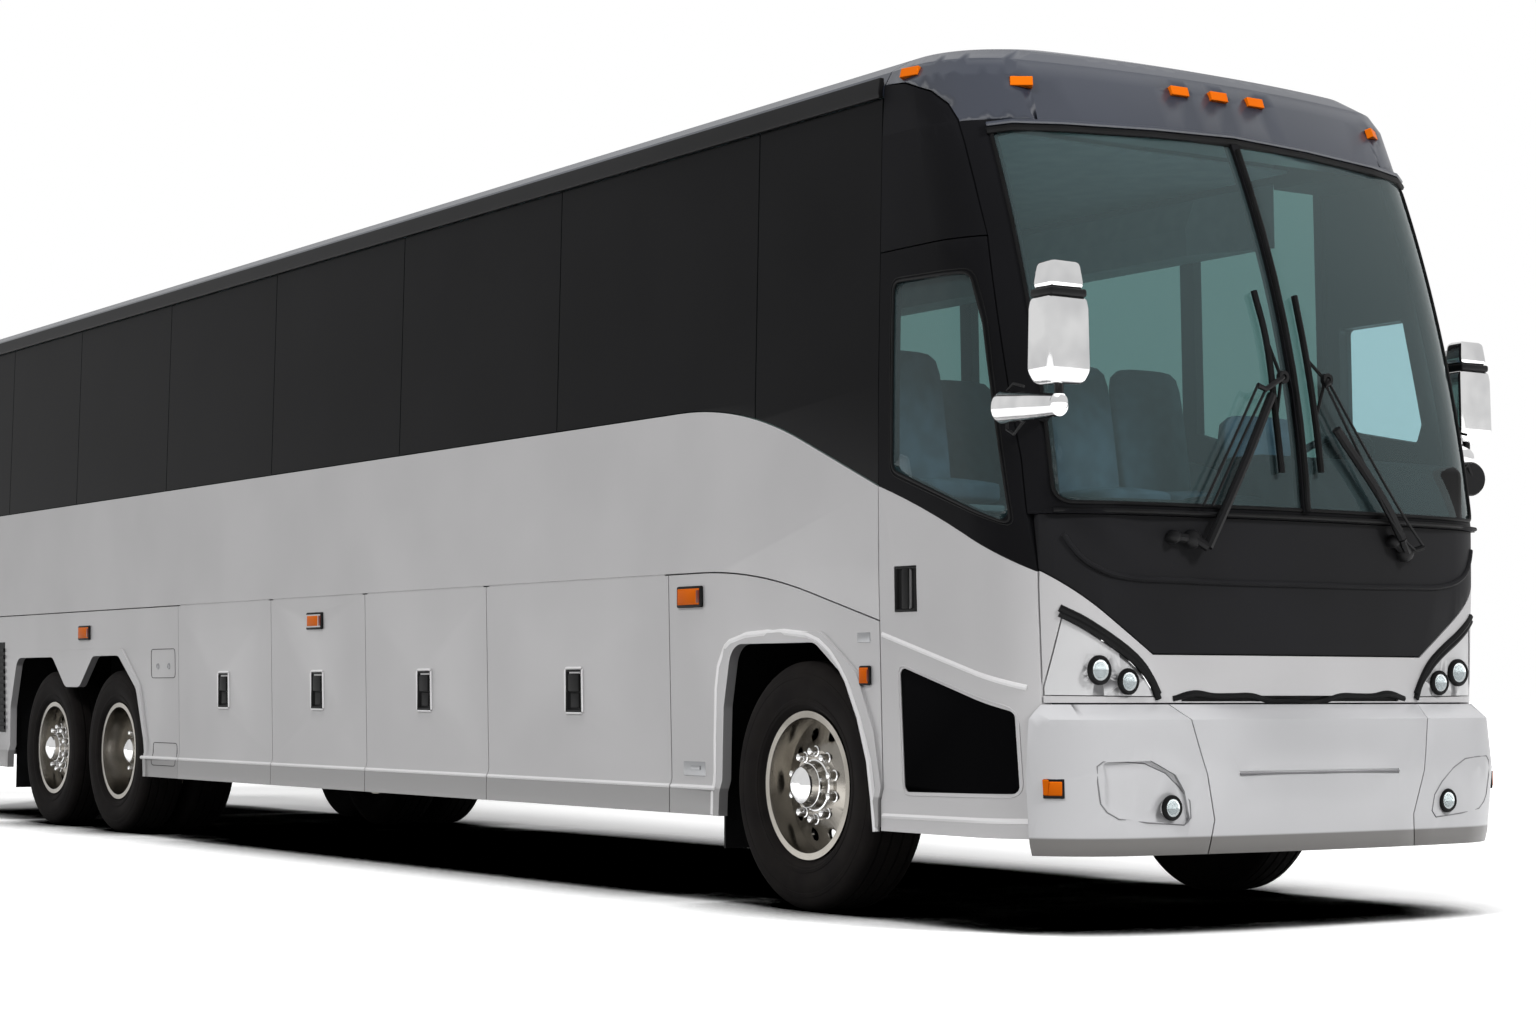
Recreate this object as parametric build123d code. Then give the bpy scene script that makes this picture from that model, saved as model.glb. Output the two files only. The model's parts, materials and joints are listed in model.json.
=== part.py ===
from build123d import *
from functools import cache
from math import cos, radians, sin, sqrt
import os

# Intercity coach bus: a hollow body of separate panels on a frame, with a steered front axle,
# a twin-wheel drive axle and a single-wheel tag axle.
# Frame: +X forward, +Y to the bus's left, +Z up, in millimetres.  The origin is on the ground,
# in the middle of the overall length (mirrors included) and of the width.

# ---------------------------------------------------------------- driving dimensions
LENGTH = 13870            # rear bumper to front bumper
WIDTH = 2590
HEIGHT = 3600
WHEELBASE = 8000          # steered axle to drive axle
TAG_SPACING = 1220        # drive axle to tag axle
FRONT_OVERHANG = 1800     # steered axle to the front bumper
MIRROR_REACH = 310        # mirror heads ahead of the front bumper

TYRE_DIAMETER = 1050
TYRE_WIDTH = 296
RIM_DIAMETER = 571.5      # 22.5 inch wheel
FRONT_TRACK = 2226        # between the middles of the front tyres
TWIN_OUTER_TRACK = 2200
TWIN_SPACING = 350        # between the middles of a pair of twin tyres
KINGPIN_TRACK = 1960
STEER_LOCK = 48           # degrees each way

SEAM = 6                  # gap between neighbouring panels
SEAT_GAP = 0.3            # between a piece and the curved face it sits on
PANEL = 35                # thickness of body walls, doors and glazing units
GLASS = 8                 # windscreen thickness
ROOF = 45                 # roof and cap thickness
PLATE = 8                 # wheel housings and brackets
FLOOR_THICKNESS = 40
CAB_LINING = 76           # from the cab's outer face to what stands inside it

SKIRT_Z = 375             # lower edge of the body sides
GROOVE_Z = 1444           # seam over the luggage doors and quarter panels
BELT_Z = 2170             # top of the silver side, bottom of the dark glass
GLASS_TOP_Z = 3345
ROOF_BOTTOM = 3356        # lower edge of the roof's side, behind the drip rail
CAP_BOTTOM = 3186       # brow over the windscreen
DECK_Z = 1400             # passenger floor
COCKPIT_Z = 1080          # driver's floor
BAY_FLOOR_Z = 470
RAIL_HALF = 430           # middle of each underframe rail from the centreline
RAIL_HALF_WIDTH = 35
RAIL_HEIGHT = 180
REAR_RAIL_Z, FRONT_RAIL_Z = 750, 780
TOW_EYE_RADIUS = 22
TOW_PLATE = 40            # thickness of the drilled plates under the rails
BEAM_HALF, BEAM_Z, BEAM_HEIGHT = 1130, 700, 90     # bumper beam
BUMPER_WALL = 50

# ---------------------------------------------------------------- places along the bus
X_NOSE = (LENGTH - MIRROR_REACH) / 2
X_TAIL = X_NOSE - LENGTH
X_STEER = X_NOSE - FRONT_OVERHANG
X_DRIVE = X_STEER - WHEELBASE
X_TAG = X_DRIVE - TAG_SPACING
X_CAB = X_STEER + 604               # seam behind the entrance door and the front cap
X_REAR = X_TAIL + 320               # seam in front of the rear corner mouldings
AXLE_Z = TYRE_DIAMETER / 2
HALF_WIDTH = WIDTH / 2
TYRE_RADIUS = TYRE_DIAMETER / 2
RIM_RADIUS = RIM_DIAMETER / 2

DOOR_EDGE_SETBACK = 313             # entrance door's front edge, behind the nose
DOOR_TOP_Z = 2705
DOOR_EDGE = ((313, SKIRT_Z), (313, 1390), (376, 1810), (586, DOOR_TOP_Z))  # (setback, z) up the edge
LAMP_AMBER_DEPTH = 30

# Side wall: (height, how far in from the full half width)
SIDE_PROFILE = ((345, 10), (480, 10), (530, 23), (1440, 0), (2170, 0), (3350, 23))

# Front of the body below the windscreen, flat facets: (height, setback, corner radius, bow radius)
FACE_ROWS = ((345, 150, 390, 7000), (480, 150, 390, 7000), (530, 150, 390, 7000),
             (1068, 138, 390, 7000), (1382, 118, 410, 6500), (1617, 88, 450, 5500))
# Windscreen zone, one smooth surface: same columns
SCREEN_TOP = CAP_BOTTOM - SEAT_GAP
SCREEN_ROWS = ((1617, 88, 450, 5500), (2100, 144, 490, 5000), (2600, 268, 475, 5000),
               (SCREEN_TOP, 495, 400, 5000))
# Roof, front cap and rear cap: (below the crown, in from the side, nose setback, tail setback,
#                                corner radius, share of the wall thickness taken downwards)
ROOF_ROWS = ((420, 20, 493, 75, 400, 0.0), (210, 31, 583, 95, 375, 0.1), (140, 70, 630, 130, 350, 0.5),
             (80, 170, 715, 200, 350, 0.8), (35, 340, 865, 270, 350, 0.95), (0, 700, 1130, 310, 350, 1.0))
# Rear of the body: (height, setback from the tail)
REAR_ROWS = ((420, 70), (1500, 45), (2300, 40), (3180, 75))
REAR_CORNER = 190
REAR_BOW = 9000
# Front bumper: (height, setback, in from the side, corner radius)
BUMPER_ROWS = ((300, 36, 10, 460), (347, 28, 2, 460), (607, 0, 0, 460), (815, 25, 2, 460), (872, 110, 10, 440))
BUMPER_BOW = 7000
BUMPER_TOP = 872

# Side seams, from the steered axle: luggage doors, then the glazing
BAY_SEAMS = (-1020, -2770, -4170, -5420, -6830)
PANE_SEAMS = (604, -310, -2060, -3770, -5440, -7060, -8660, -10020)


# ---------------------------------------------------------------- helpers
def side_in(z, rows=SIDE_PROFILE):
    """How far the side wall stands in from the full half width at a height."""
    for (z0, a), (z1, b) in zip(rows, rows[1:]):
        if z <= z1:
            return a + (b - a) * (z - z0) / (z1 - z0)
    return rows[-1][1]


def block(x0, x1, y0, y1, z0, z1):
    return Pos((x0 + x1) / 2, (y0 + y1) / 2, (z0 + z1) / 2) * Box(abs(x1 - x0), abs(y1 - y0), abs(z1 - z0))


def rod(p, q, radius):
    """A round bar from one point to another."""
    start, line = Vector(*p), Vector(*q) - Vector(*p)
    return Solid.make_cylinder(radius, line.length, Plane(origin=start, z_dir=line.normalized()))


def outline(points, radius=0):
    wire = FilletPolyline(*points, radius=radius, close=True) if radius else Polyline(*points, close=True)
    return make_face(wire)


def side_prism(points, y0, y1, radius=0):
    """Outline of (x, z) points seen from the side, from y0 to y1."""
    face = Pos(0, y0, 0) * (Plane.XZ * outline(points, radius))
    return Solid.extrude(face.face(), Vector(0, y1 - y0, 0))


def front_prism(points, x0, x1, radius=0):
    """Outline of (y, z) points seen from the front, from x0 to x1."""
    face = Pos(x0, 0, 0) * (Plane.YZ * outline(points, radius))
    return Solid.extrude(face.face(), Vector(x1 - x0, 0, 0))


def flip(shape):
    """The same piece on the other side of the bus."""
    return mirror(shape, about=Plane.XZ)


def group(*shapes):
    """Pieces that share a node, as solids."""
    solids = []
    for shape in shapes:
        solids += list(shape.solids())
    return Compound(children=solids)


def corner(end_x, way, half, radius, bow):
    """Points of a rounded plan corner: on the side, halfway round, on the bowed end."""
    centre_x = end_x - way * bow
    root = sqrt((bow - radius) ** 2 - (half - radius) ** 2)
    cx, cy = centre_x + way * root, half - radius
    share = bow / (bow - radius)
    end = (centre_x + way * root * share, cy * share)
    vx, vy = (end[0] - cx) / radius, (end[1] - cy) / radius + 1
    size = sqrt(vx * vx + vy * vy)
    return (cx, half), (cx + radius * vx / size, cy + radius * vy / size), end


def plan_wire(z, half, nose, tail):
    """Closed plan outline; nose and tail are (x, corner radius, bow), or a plain x for a square end."""
    def end_edges(end, way):
        if not isinstance(end, tuple):
            return [(end, half)], [Edge.make_line((end, way * -half, z), (end, way * half, z))]
        side, mid, tip = corner(end[0], way, half, end[1], end[2])
        low, high = (-way, way)
        arcs = [Edge.make_three_point_arc((side[0], low * half, z), (mid[0], low * mid[1], z), (tip[0], low * tip[1], z)),
                Edge.make_three_point_arc((tip[0], low * tip[1], z), (end[0], 0, z), (tip[0], high * tip[1], z)),
                Edge.make_three_point_arc((tip[0], high * tip[1], z), (mid[0], high * mid[1], z), (side[0], high * half, z))]
        return [side], arcs
    nose_side, nose_edges = end_edges(nose, 1)
    tail_side, tail_edges = end_edges(tail, -1)
    right = Edge.make_line((tail_side[0][0], -half, z), (nose_side[0][0], -half, z))
    left = Edge.make_line((nose_side[0][0], half, z), (tail_side[0][0], half, z))
    return Wire([right] + nose_edges + [left] + tail_edges)


@cache
def nose_form(rows, inset, ruled):
    """Front of the body, inset all round; its back is square, behind the cab seam."""
    wires = [plan_wire(z, HALF_WIDTH - side_in(z) - inset,
                       (X_NOSE - setback - inset, radius - inset, bow - inset), X_CAB - 60)
             for z, setback, radius, bow in rows]
    return Solid.make_loft(wires, ruled)


@cache
def face_shell(outer, inner):
    return nose_form(FACE_ROWS, outer, True) - nose_form(FACE_ROWS, inner, True)


@cache
def screen_shell(outer, inner):
    return nose_form(SCREEN_ROWS, outer, False) - nose_form(SCREEN_ROWS, inner, False)


def roof_row(row, inset):
    """Height, half width and end setback of one roof row, moved in by the inset."""
    drop, tuck, _, _, _, down = row
    side = inset * (1 - 0.5 * down)
    return HEIGHT - drop - down * inset, HALF_WIDTH - tuck - side, side


@cache
def cabin_form(inset):
    """The space inside the cab's walls, from the floor to the windscreen's top."""
    return nose_form(FACE_ROWS, inset, True) + nose_form(SCREEN_ROWS, inset, False)


@cache
def cap_form(inset):
    """Front cap: plan outlines stacked up to the crown, square behind the cab seam."""
    wires = []
    for row in ROOF_ROWS:
        z, half, side = roof_row(row, inset)
        wires.append(plan_wire(z, half, (X_NOSE - row[2] - side, row[4], 5000), X_CAB - 60))
    return Solid.make_loft(wires, True)


@cache
def tail_cap_form(inset):
    """Rear cap: the same outlines rounded at the tail, square ahead of the rear seam."""
    wires = []
    for row in ROOF_ROWS:
        z, half, side = roof_row(row, inset)
        wires.append(plan_wire(z, half, X_REAR + 60, (X_TAIL + row[3] + side, REAR_CORNER, REAR_BOW)))
    return Solid.make_loft(wires, True)


def roof_bar(inset, x0, x1):
    """The roof between the caps, as one long bar of the same rows."""
    right = [(-roof_row(row, inset)[1], roof_row(row, inset)[0]) for row in ROOF_ROWS]
    left = [(-y, z) for y, z in reversed(right)]
    return front_prism(right + left, x0, x1)


@cache
def rear_form(inset):
    wires = [plan_wire(z, HALF_WIDTH - side_in(z) - inset, X_REAR + 60,
                       (X_TAIL + setback + inset, REAR_CORNER - inset, REAR_BOW - inset))
             for z, setback in REAR_ROWS]
    return Solid.make_loft(wires, True)


@cache
def rear_shell(outer, inner):
    return rear_form(outer) - rear_form(inner)


def side_slab(x0, x1, z0, z1, outer, inner):
    """Right-hand wall between two insets, following the side's profile."""
    heights = [z0] + [z for z, _ in SIDE_PROFILE if z0 < z < z1] + [z1]
    points = [(-(HALF_WIDTH - side_in(z) - outer), z) for z in heights]
    points += [(-(HALF_WIDTH - side_in(z) - inner), z) for z in reversed(heights)]
    return front_prism(points, x0, x1)


def from_axle(points):
    return [(X_STEER + x, z) for x, z in points]


def from_nose(points):
    return [(X_NOSE - setback, z) for setback, z in points]


# ---------------------------------------------------------------- lines on the body side
BELT_DIP = (-420, 1752)        # where the belt line starts down, and its height at the cab seam
GROOVE_DIP = (-320, 1205)


def dip_line(level, dip, shift=0):
    """Level line from the rear that dips to the cab seam: three (x, z) points."""
    return [(X_REAR - 500, level + shift), (X_STEER + dip[0], level + shift), (X_CAB, dip[1] + shift)]


def above_line(level, dip, radius, shift, top):
    """Side view area over a dipping line, as a prism through the whole bus."""
    line = dip_line(level, dip, shift)
    wire = FilletPolyline(*line, radius=radius)
    cap = Polyline(line[-1], (line[-1][0], top), (line[0][0], top), line[0])
    face = Pos(0, -2000, 0) * (Plane.XZ * make_face(wire.edges() + cap.edges()))
    return Solid.extrude(face.face(), Vector(0, 4000, 0))


def above_belt(shift):
    return above_line(BELT_Z, BELT_DIP, 2550, shift, HEIGHT)


def above_groove(shift):
    return above_line(GROOVE_Z, GROOVE_DIP, 3400, shift, HEIGHT)


FRONT_ARCH = ((-600, 280), (-560, 850), (-490, 1125), (150, 1125), (400, 955), (515, 715), (605, 280))
REAR_ARCH = ((-9960, 280), (-9930, 800), (-9780, 1145), (-9062, 1145), (-8817, 941), (-8548, 941),
             (-8290, 1145), (-7830, 1145), (-7520, 930), (-7400, 600), (-7360, 280))
ARCH_FLANGE = 45
ARCH_PROUD = 12
ARCH_CORNER = 110


def grown(points, amount):
    """An arch outline with its sides and top moved outwards."""
    low = min(x for x, _ in points)
    high = max(x for x, _ in points)
    middle = (low + high) / 2
    return [(x + (-amount if x < middle else amount), z + (amount if z > 300 else 0)) for x, z in points]


def front_arch_hole(extra=0, y0=-1500, y1=-900):
    return side_prism(from_axle(grown(FRONT_ARCH, extra)), y0, y1, ARCH_CORNER)


def rear_arch_hole(extra=0, y0=-1500, y1=-900):
    points = grown(REAR_ARCH, extra) if not extra else [
        (-9960 - extra, 280), (-9930 - extra, 800), (-9790 - extra, 1145 + extra),
        (-7820 + extra, 1145 + extra), (-7510 + extra, 950), (-7400 + extra, 600), (-7360 + extra, 280)]
    return side_prism(from_axle(points), y0, y1, ARCH_CORNER)


# ---------------------------------------------------------------- body sides
def belt_panels():
    right = side_slab(X_REAR + SEAM / 2, X_CAB - SEAM / 2, 1100, BELT_Z, 0, PANEL)
    right = right & above_groove(SEAM / 2)
    right = right - above_belt(-SEAM / 2)
    return group(right, flip(right))


def quarter_panels():
    front = side_slab(X_STEER + BAY_SEAMS[0] + SEAM / 2, X_CAB - SEAM / 2, SKIRT_Z, GROOVE_Z, 0, PANEL)
    front = front - above_groove(-SEAM / 2) - front_arch_hole()
    flange = side_slab(X_STEER - 700, X_CAB - SEAM / 2, SKIRT_Z, GROOVE_Z, -ARCH_PROUD, PANEL)
    flange = (flange & front_arch_hole(ARCH_FLANGE)) - front_arch_hole()
    front = front + flange
    rear = side_slab(X_REAR + SEAM / 2, X_STEER + BAY_SEAMS[-1] - SEAM / 2, SKIRT_Z, GROOVE_Z - SEAM / 2, 0, PANEL)
    rim = side_slab(X_TAG - 800, X_DRIVE + 800, SKIRT_Z, GROOVE_Z, -ARCH_PROUD, PANEL) & rear_arch_hole(ARCH_FLANGE)
    rear = (rear + rim) - rear_arch_hole()
    # driver's side below the belt, ahead of the cab seam
    cab = face_shell(0, PANEL) & cab_side_area(SKIRT_Z, lower=True) & block(X_CAB, X_NOSE, 0, 1500, 0, 2000)
    cab = cab + (screen_shell(0, PANEL) & cab_side_area(SKIRT_Z, lower=True) & block(X_CAB, X_NOSE, 0, 1500, 0, 2000))
    cab = cab - flip(front_arch_hole(ARCH_FLANGE + SEAM))
    return group(front, flip(front), rear, flip(rear), cab)


def cab_belt():
    """The belt line ahead of the cab seam, down to the front edge of the cab side."""
    return [(X_CAB, BELT_DIP[1]), (X_NOSE - DOOR_EDGE_SETBACK, 1390)]


def cab_side_area(bottom, lower, top=DOOR_TOP_Z, gap=SEAM / 2):
    """Side view area of the cab side: under the belt line, or over it."""
    edge = from_nose(DOOR_EDGE)
    belt = cab_belt()
    if lower:
        points = [(X_CAB + gap, bottom), (edge[0][0] - gap, bottom), (edge[1][0] - gap, belt[1][1] - gap),
                  (X_CAB + gap, belt[0][1] - gap)]
    else:
        points = [(X_CAB + gap, belt[0][1] + gap), (edge[1][0] - gap, belt[1][1] + gap),
                  (edge[2][0] - gap, edge[2][1]), (edge[3][0] - gap, top), (X_CAB + gap, top)]
    return side_prism(points, -2000, 2000)


def pane_spans():
    """(rear x, front x) of each side pane, from the front."""
    ends = [X_STEER + x for x in PANE_SEAMS] + [X_REAR]
    return [(b + SEAM / 2, a - SEAM / 2) for a, b in zip(ends, ends[1:])]


REAR_WINDOW = ((-820, 2230), (820, 2230), (760, 2960), (-760, 2960))


def side_glass():
    band = above_belt(SEAM / 2)
    panes = []
    for rear_x, front_x in pane_spans():
        pane = side_slab(rear_x, front_x, 1700, GLASS_TOP_Z, 2, PANEL) & band
        panes += [pane, flip(pane)]
    window = rear_shell(2, PANEL) & front_prism(REAR_WINDOW, X_TAIL, X_REAR, 60)
    return group(*panes, window)


POST_WIDTH = 90
FRAME_DEPTH = 50
RAIL_DEPTH = 70


def window_frame():
    """Posts and rails that carry the side glazing, inside it."""
    right = side_slab(X_REAR, X_CAB - SEAM, 1640, ROOF_BOTTOM - SEAT_GAP, PANEL + SEAT_GAP, PANEL + FRAME_DEPTH)
    right = right & above_belt(-RAIL_DEPTH)
    rear = side_slab(X_REAR - 50, X_REAR, BELT_Z - RAIL_DEPTH, 3170, PANEL - 5, PANEL + FRAME_DEPTH)
    right = right + (rear & rear_form(PANEL + SEAT_GAP))
    for rear_x, front_x in pane_spans():
        hole = side_prism([(rear_x + POST_WIDTH / 2, 1500), (front_x - POST_WIDTH / 2, 1500),
                           (front_x - POST_WIDTH / 2, GLASS_TOP_Z - RAIL_DEPTH),
                           (rear_x + POST_WIDTH / 2, GLASS_TOP_Z - RAIL_DEPTH)], -1400, -1000)
        right = right - (hole & above_belt(RAIL_DEPTH))
    return group(right, flip(right))


# ---------------------------------------------------------------- roof
CORNER_ARC = ((586, DOOR_TOP_Z), (667, 2936), (727, 3096), (767, 3191), (818, 3263), (900, 3326), (1050, 3384))


def corner_area(gap):
    """Side view area of the dark upper corner panel, over the door."""
    arc = from_nose(CORNER_ARC)
    points = [(X_CAB + gap, DOOR_TOP_Z + gap), (arc[0][0] - gap, arc[0][1] + gap)]
    points += [(x - gap, z - gap) for x, z in arc[1:]] + [(X_CAB + gap, 3400 - gap)]
    return side_prism(points, -2000, 2000)


def roof():
    shell = roof_bar(0, X_REAR, X_CAB - SEAM / 2) - roof_bar(ROOF, X_REAR - 10, X_CAB)
    return shell & block(X_REAR, X_CAB, -1500, 1500, ROOF_BOTTOM, HEIGHT)


def front_cap():
    cap = (cap_form(0) - cap_form(ROOF)) & block(X_CAB + SEAM / 2, X_NOSE, -1500, 1500, CAP_BOTTOM, HEIGHT)
    cap = cap - corner_area(-SEAM / 2)
    for lamp in cap_lamps(SEAT_GAP):
        cap = cap - lamp
    return cap


def corner_panels():
    """Dark panels over the door and over the driver's window, with the window's frame."""
    over = corner_area(SEAM / 2)
    side = block(X_CAB, X_NOSE, -1500, -900, 0, HEIGHT)
    right = (screen_shell(0, PANEL) & over & side) + ((cap_form(0) - cap_form(PANEL)) & over & side)
    left = flip(right)
    frame = (screen_shell(0, PANEL) & cab_side_area(0, lower=False, top=DOOR_TOP_Z)) \
        + (face_shell(0, PANEL) & cab_side_area(0, lower=False, top=DOOR_TOP_Z))
    frame = frame & block(X_CAB, X_NOSE, 0, 1500, 0, HEIGHT)
    frame = frame - driver_window_hole(0)
    return group(right, left, frame)


DRIVER_WINDOW = ((690, 2560), (1090, 2560), (1190, 2090), (1150, 2010), (690, 2100))


def driver_window_hole(gap):
    points = from_axle(DRIVER_WINDOW)
    prism = side_prism(points, 1000, 1400, 25)
    return prism if not gap else prism & side_prism([(X_STEER + 690 + gap, 2000), (X_STEER + 1190 - gap, 2000),
                                                     (X_STEER + 1190 - gap, 2560 - gap), (X_STEER + 690 + gap, 2560 - gap)], 1000, 1400)


def gutter_rails():
    """Drip rails between the side glazing and the roof."""
    z0, z1 = GLASS_TOP_Z + 4, 3432
    inner = HALF_WIDTH - side_in(z0) - 18
    right = front_prism([(-inner, z0), (-inner - 32, z0), (-inner - 36, z0 + 20), (-inner - 26, z1), (-inner - 6, z1)],
                        X_REAR, X_CAB - SEAM)
    right = right - roof_bar(-SEAT_GAP, X_REAR - 10, X_CAB)
    return group(right, flip(right))


# (from the axle or a height, y, z) of the cap's lamps, and their turn about Z
CAP_LAMPS = ((765, -1246, 3424, 76), (1138, -975, 3352, 33), (1213, -210, 3388, 2), (1219, 0, 3388, 0),
             (1213, 210, 3388, -2), (1138, 975, 3352, -33), (765, 1246, 3424, -76))
# (from the axle, height, length, depth) of the side lamps; the one on a luggage door turns with it
SIDE_LAMPS = ((-831, 1340, 180, 72), (-8457, 1301, 180, 72), (503, 985, 60, 64))
DOOR_LAMP = (2, -4807, 1310, 180, 72)      # luggage door number from the front, then as above


def cap_lamps(gap=0):
    lamps = []
    for ahead, y, z, turn in CAP_LAMPS:
        body = Box(LAMP_AMBER_DEPTH + 2 * gap, 92 + 2 * gap, 42 + 2 * gap)
        lamps.append(Pos(X_STEER + ahead, y, z) * Rot(0, 0, -turn if y < 0 else -turn) * Rot(0, -18, 0) * body)
    return lamps


def side_lamp(ahead, z, long, high, sunk=0):
    """Right-hand lamp on the body side, proud of it; sunk lets it into the panel."""
    y = HALF_WIDTH - side_in(z + high / 2) + SEAT_GAP
    x = X_STEER + ahead
    return block(x - long / 2, x + long / 2, -y - 16, -y + sunk, z - high / 2, z + high / 2)


def side_lamps():
    lamps = []
    for ahead, z, long, high in SIDE_LAMPS:
        lamp = side_lamp(ahead, z, long, high)
        lamps += [lamp, flip(lamp)]
    return lamps


def marker_lamps():
    bumper = block(X_NOSE - 245, X_NOSE - 195, -1252, -1205, 530, 590) & bumper_form(-12) - bumper_form(-SEAT_GAP)
    return group(*cap_lamps(), *side_lamps(), bumper, flip(bumper))


# ---------------------------------------------------------------- front
SCREEN_HALF = 1135
SCREEN_BOTTOM = 1645
DIVIDER = 40
FRAME_BOTTOM = 1600
FASCIA_BOTTOM = 1066
FASCIA_HALF = 725         # half width of the fascia's level lower edge
FASCIA_SIDE_Z = 1385      # where its rising edge meets the cab side


def screen_hole(gap=0):
    half, low, high = SCREEN_HALF - gap, SCREEN_BOTTOM + gap, SCREEN_TOP - gap
    return front_prism([(-half, low), (half, low), (half, high), (-half, high)], X_NOSE - 900, X_NOSE, 70)


def cab_sides(gap):
    """Everything that belongs to the doors and side panels of the cab, both sides."""
    edge = from_nose(DOOR_EDGE)
    arc = from_nose(CORNER_ARC)
    points = [(X_CAB - 200, 0), (edge[0][0] + gap, 0)] + [(x + gap, z) for x, z in edge[1:]]
    points += [(x + gap, z) for x, z in arc[1:]] + [(X_CAB - 200, 3400)]
    prism = side_prism(points, -2000, 2000)
    return prism - block(X_CAB - 300, X_NOSE, -1000, 1000, 0, HEIGHT)


def windscreen_frame():
    shell = (screen_shell(0, PANEL) + face_shell(0, PANEL)) & block(X_CAB, X_NOSE, -1500, 1500, FRAME_BOTTOM, SCREEN_TOP)
    shell = shell - screen_hole() - cab_sides(SEAM / 2)
    post = (screen_shell(-14, PANEL)) & block(X_CAB, X_NOSE, -DIVIDER / 2, DIVIDER / 2, SCREEN_BOTTOM - 10, 3176)
    bar = (face_shell(-16, 0)) & block(X_CAB, X_NOSE, -1170, 1170, FRAME_BOTTOM, FRAME_BOTTOM + 16)
    return shell + post + (bar - cab_sides(SEAM / 2))


def cab_frame():
    """Welded frame behind the cab's panels, open at the windscreen, the entrance and the driver's window."""
    inner, outer = PANEL + 40, PANEL + SEAT_GAP
    shell = (screen_shell(outer, inner) + face_shell(outer, inner)) & block(X_CAB + 10, X_NOSE, -1500, 1500, 960, SCREEN_TOP - 12)
    half, low = SCREEN_HALF - 40, SCREEN_BOTTOM + 20
    opening = front_prism([(-half, low), (half, low), (half, SCREEN_TOP), (-half, SCREEN_TOP)], X_NOSE - 900, X_NOSE)
    edge = from_nose(DOOR_EDGE)
    door = side_prism([(X_CAB - 10, 0)] + [(x + 8, z) for x, z in edge] + [(X_CAB - 10, DOOR_TOP_Z)], -2000, -900)
    nose = block(X_NOSE - 600, X_NOSE, -1050, 1050, 1110, 1560)
    low_nose = front_prism([(-1030, 900), (1030, 900), (1030, 1010), (-1030, 1010)], X_NOSE - 600, X_NOSE)
    well = block(X_CAB, X_STEER + HOUSING_HALF + 2, -1500, 1500, 900, HOUSING_TOP + 42)
    return shell - opening - door - nose - low_nose - well - driver_window_hole(0)


def windscreen():
    glass = screen_shell(3, 3 + GLASS) & screen_hole(SEAT_GAP) & block(X_CAB, X_NOSE, -1500, 1500, 0, 3178)
    right = glass & block(X_CAB, X_NOSE, -1500, -DIVIDER / 2 - SEAT_GAP, 0, HEIGHT)
    return group(right, flip(right))


def over_fascia_edge(shift):
    """Front view area over the fascia's lower edge."""
    low, side = FASCIA_BOTTOM + shift, FASCIA_SIDE_Z + shift
    return front_prism([(-1180, 2000), (-1180, side), (-FASCIA_HALF, low), (FASCIA_HALF, low), (1180, side), (1180, 2000)],
                       X_NOSE - 800, X_NOSE)


def fascia():
    area = over_fascia_edge(SEAM / 2) & block(X_CAB, X_NOSE, -1500, 1500, 0, FRAME_BOTTOM - SEAM / 2)
    return (face_shell(0, PANEL) & area) - cab_sides(SEAM / 2)


HEADLAMP = ((-1168, 905), (-1112, 1205), (-966, 1118), (-833, 1045), (-745, 972), (-702, 900))
HEADLAMP_LENSES = ((-975, 1003, 40), (-846, 960, 36))
SLOT = (-590, 590, 884, 906)


def nose_panel():
    area = block(X_CAB, X_NOSE, -1178, 1178, BUMPER_TOP + SEAM, 1500) - over_fascia_edge(-SEAM / 2)
    panel = (face_shell(0, PANEL) & area) - cab_sides(SEAM / 2)
    hole = front_prism(HEADLAMP, X_NOSE - 500, X_NOSE)
    slot = block(X_NOSE - 300, X_NOSE, SLOT[0], SLOT[1], SLOT[2], SLOT[3])
    return panel - hole - flip(hole) - slot


def shrunk(points, share):
    cy = sum(p[0] for p in points) / len(points)
    cz = sum(p[1] for p in points) / len(points)
    return [(cy + (y - cy) * share, cz + (z - cz) * share) for y, z in points]


def surface_x(y, rows_x, radius, bow, half):
    """Front surface of a plan outline at a side distance."""
    side, mid, tip = corner(rows_x, 1, half, radius, bow)
    if abs(y) <= tip[1]:
        return rows_x - bow + sqrt(bow * bow - y * y)
    return side[0] + sqrt(max(0.0, radius ** 2 - (abs(y) - half + radius) ** 2))


def headlamp():
    cover = face_shell(4, PANEL) & front_prism(shrunk(HEADLAMP, 0.97), X_NOSE - 500, X_NOSE)
    for y, z, radius in HEADLAMP_LENSES:
        x = surface_x(y, X_NOSE - 140, 390, 7000, HALF_WIDTH)
        cover = cover + Pos(x - 8, y, z) * Rot(0, 90, 0) * Cylinder(radius, 34)
    return cover - cab_sides(SEAM / 2 + 1)


@cache
def bumper_form(inset):
    wires = [plan_wire(z - (inset if i == len(BUMPER_ROWS) - 1 else 0),
                       HALF_WIDTH - tuck - inset, (X_NOSE - setback - inset, radius - inset, BUMPER_BOW), X_NOSE - 700)
             for i, (z, setback, tuck, radius) in enumerate(BUMPER_ROWS)]
    return Solid.make_loft(wires, True)


def bumper_plan(inset, low, high):
    """Upright form with the bumper's plan, for the beam behind it and the hollow inside its top lip."""
    plan = (X_NOSE - 20 - inset, 460 - inset, BUMPER_BOW)
    return Solid.make_loft([plan_wire(z, HALF_WIDTH - inset, plan, X_NOSE - 700) for z in (low, high)], True)


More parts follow.
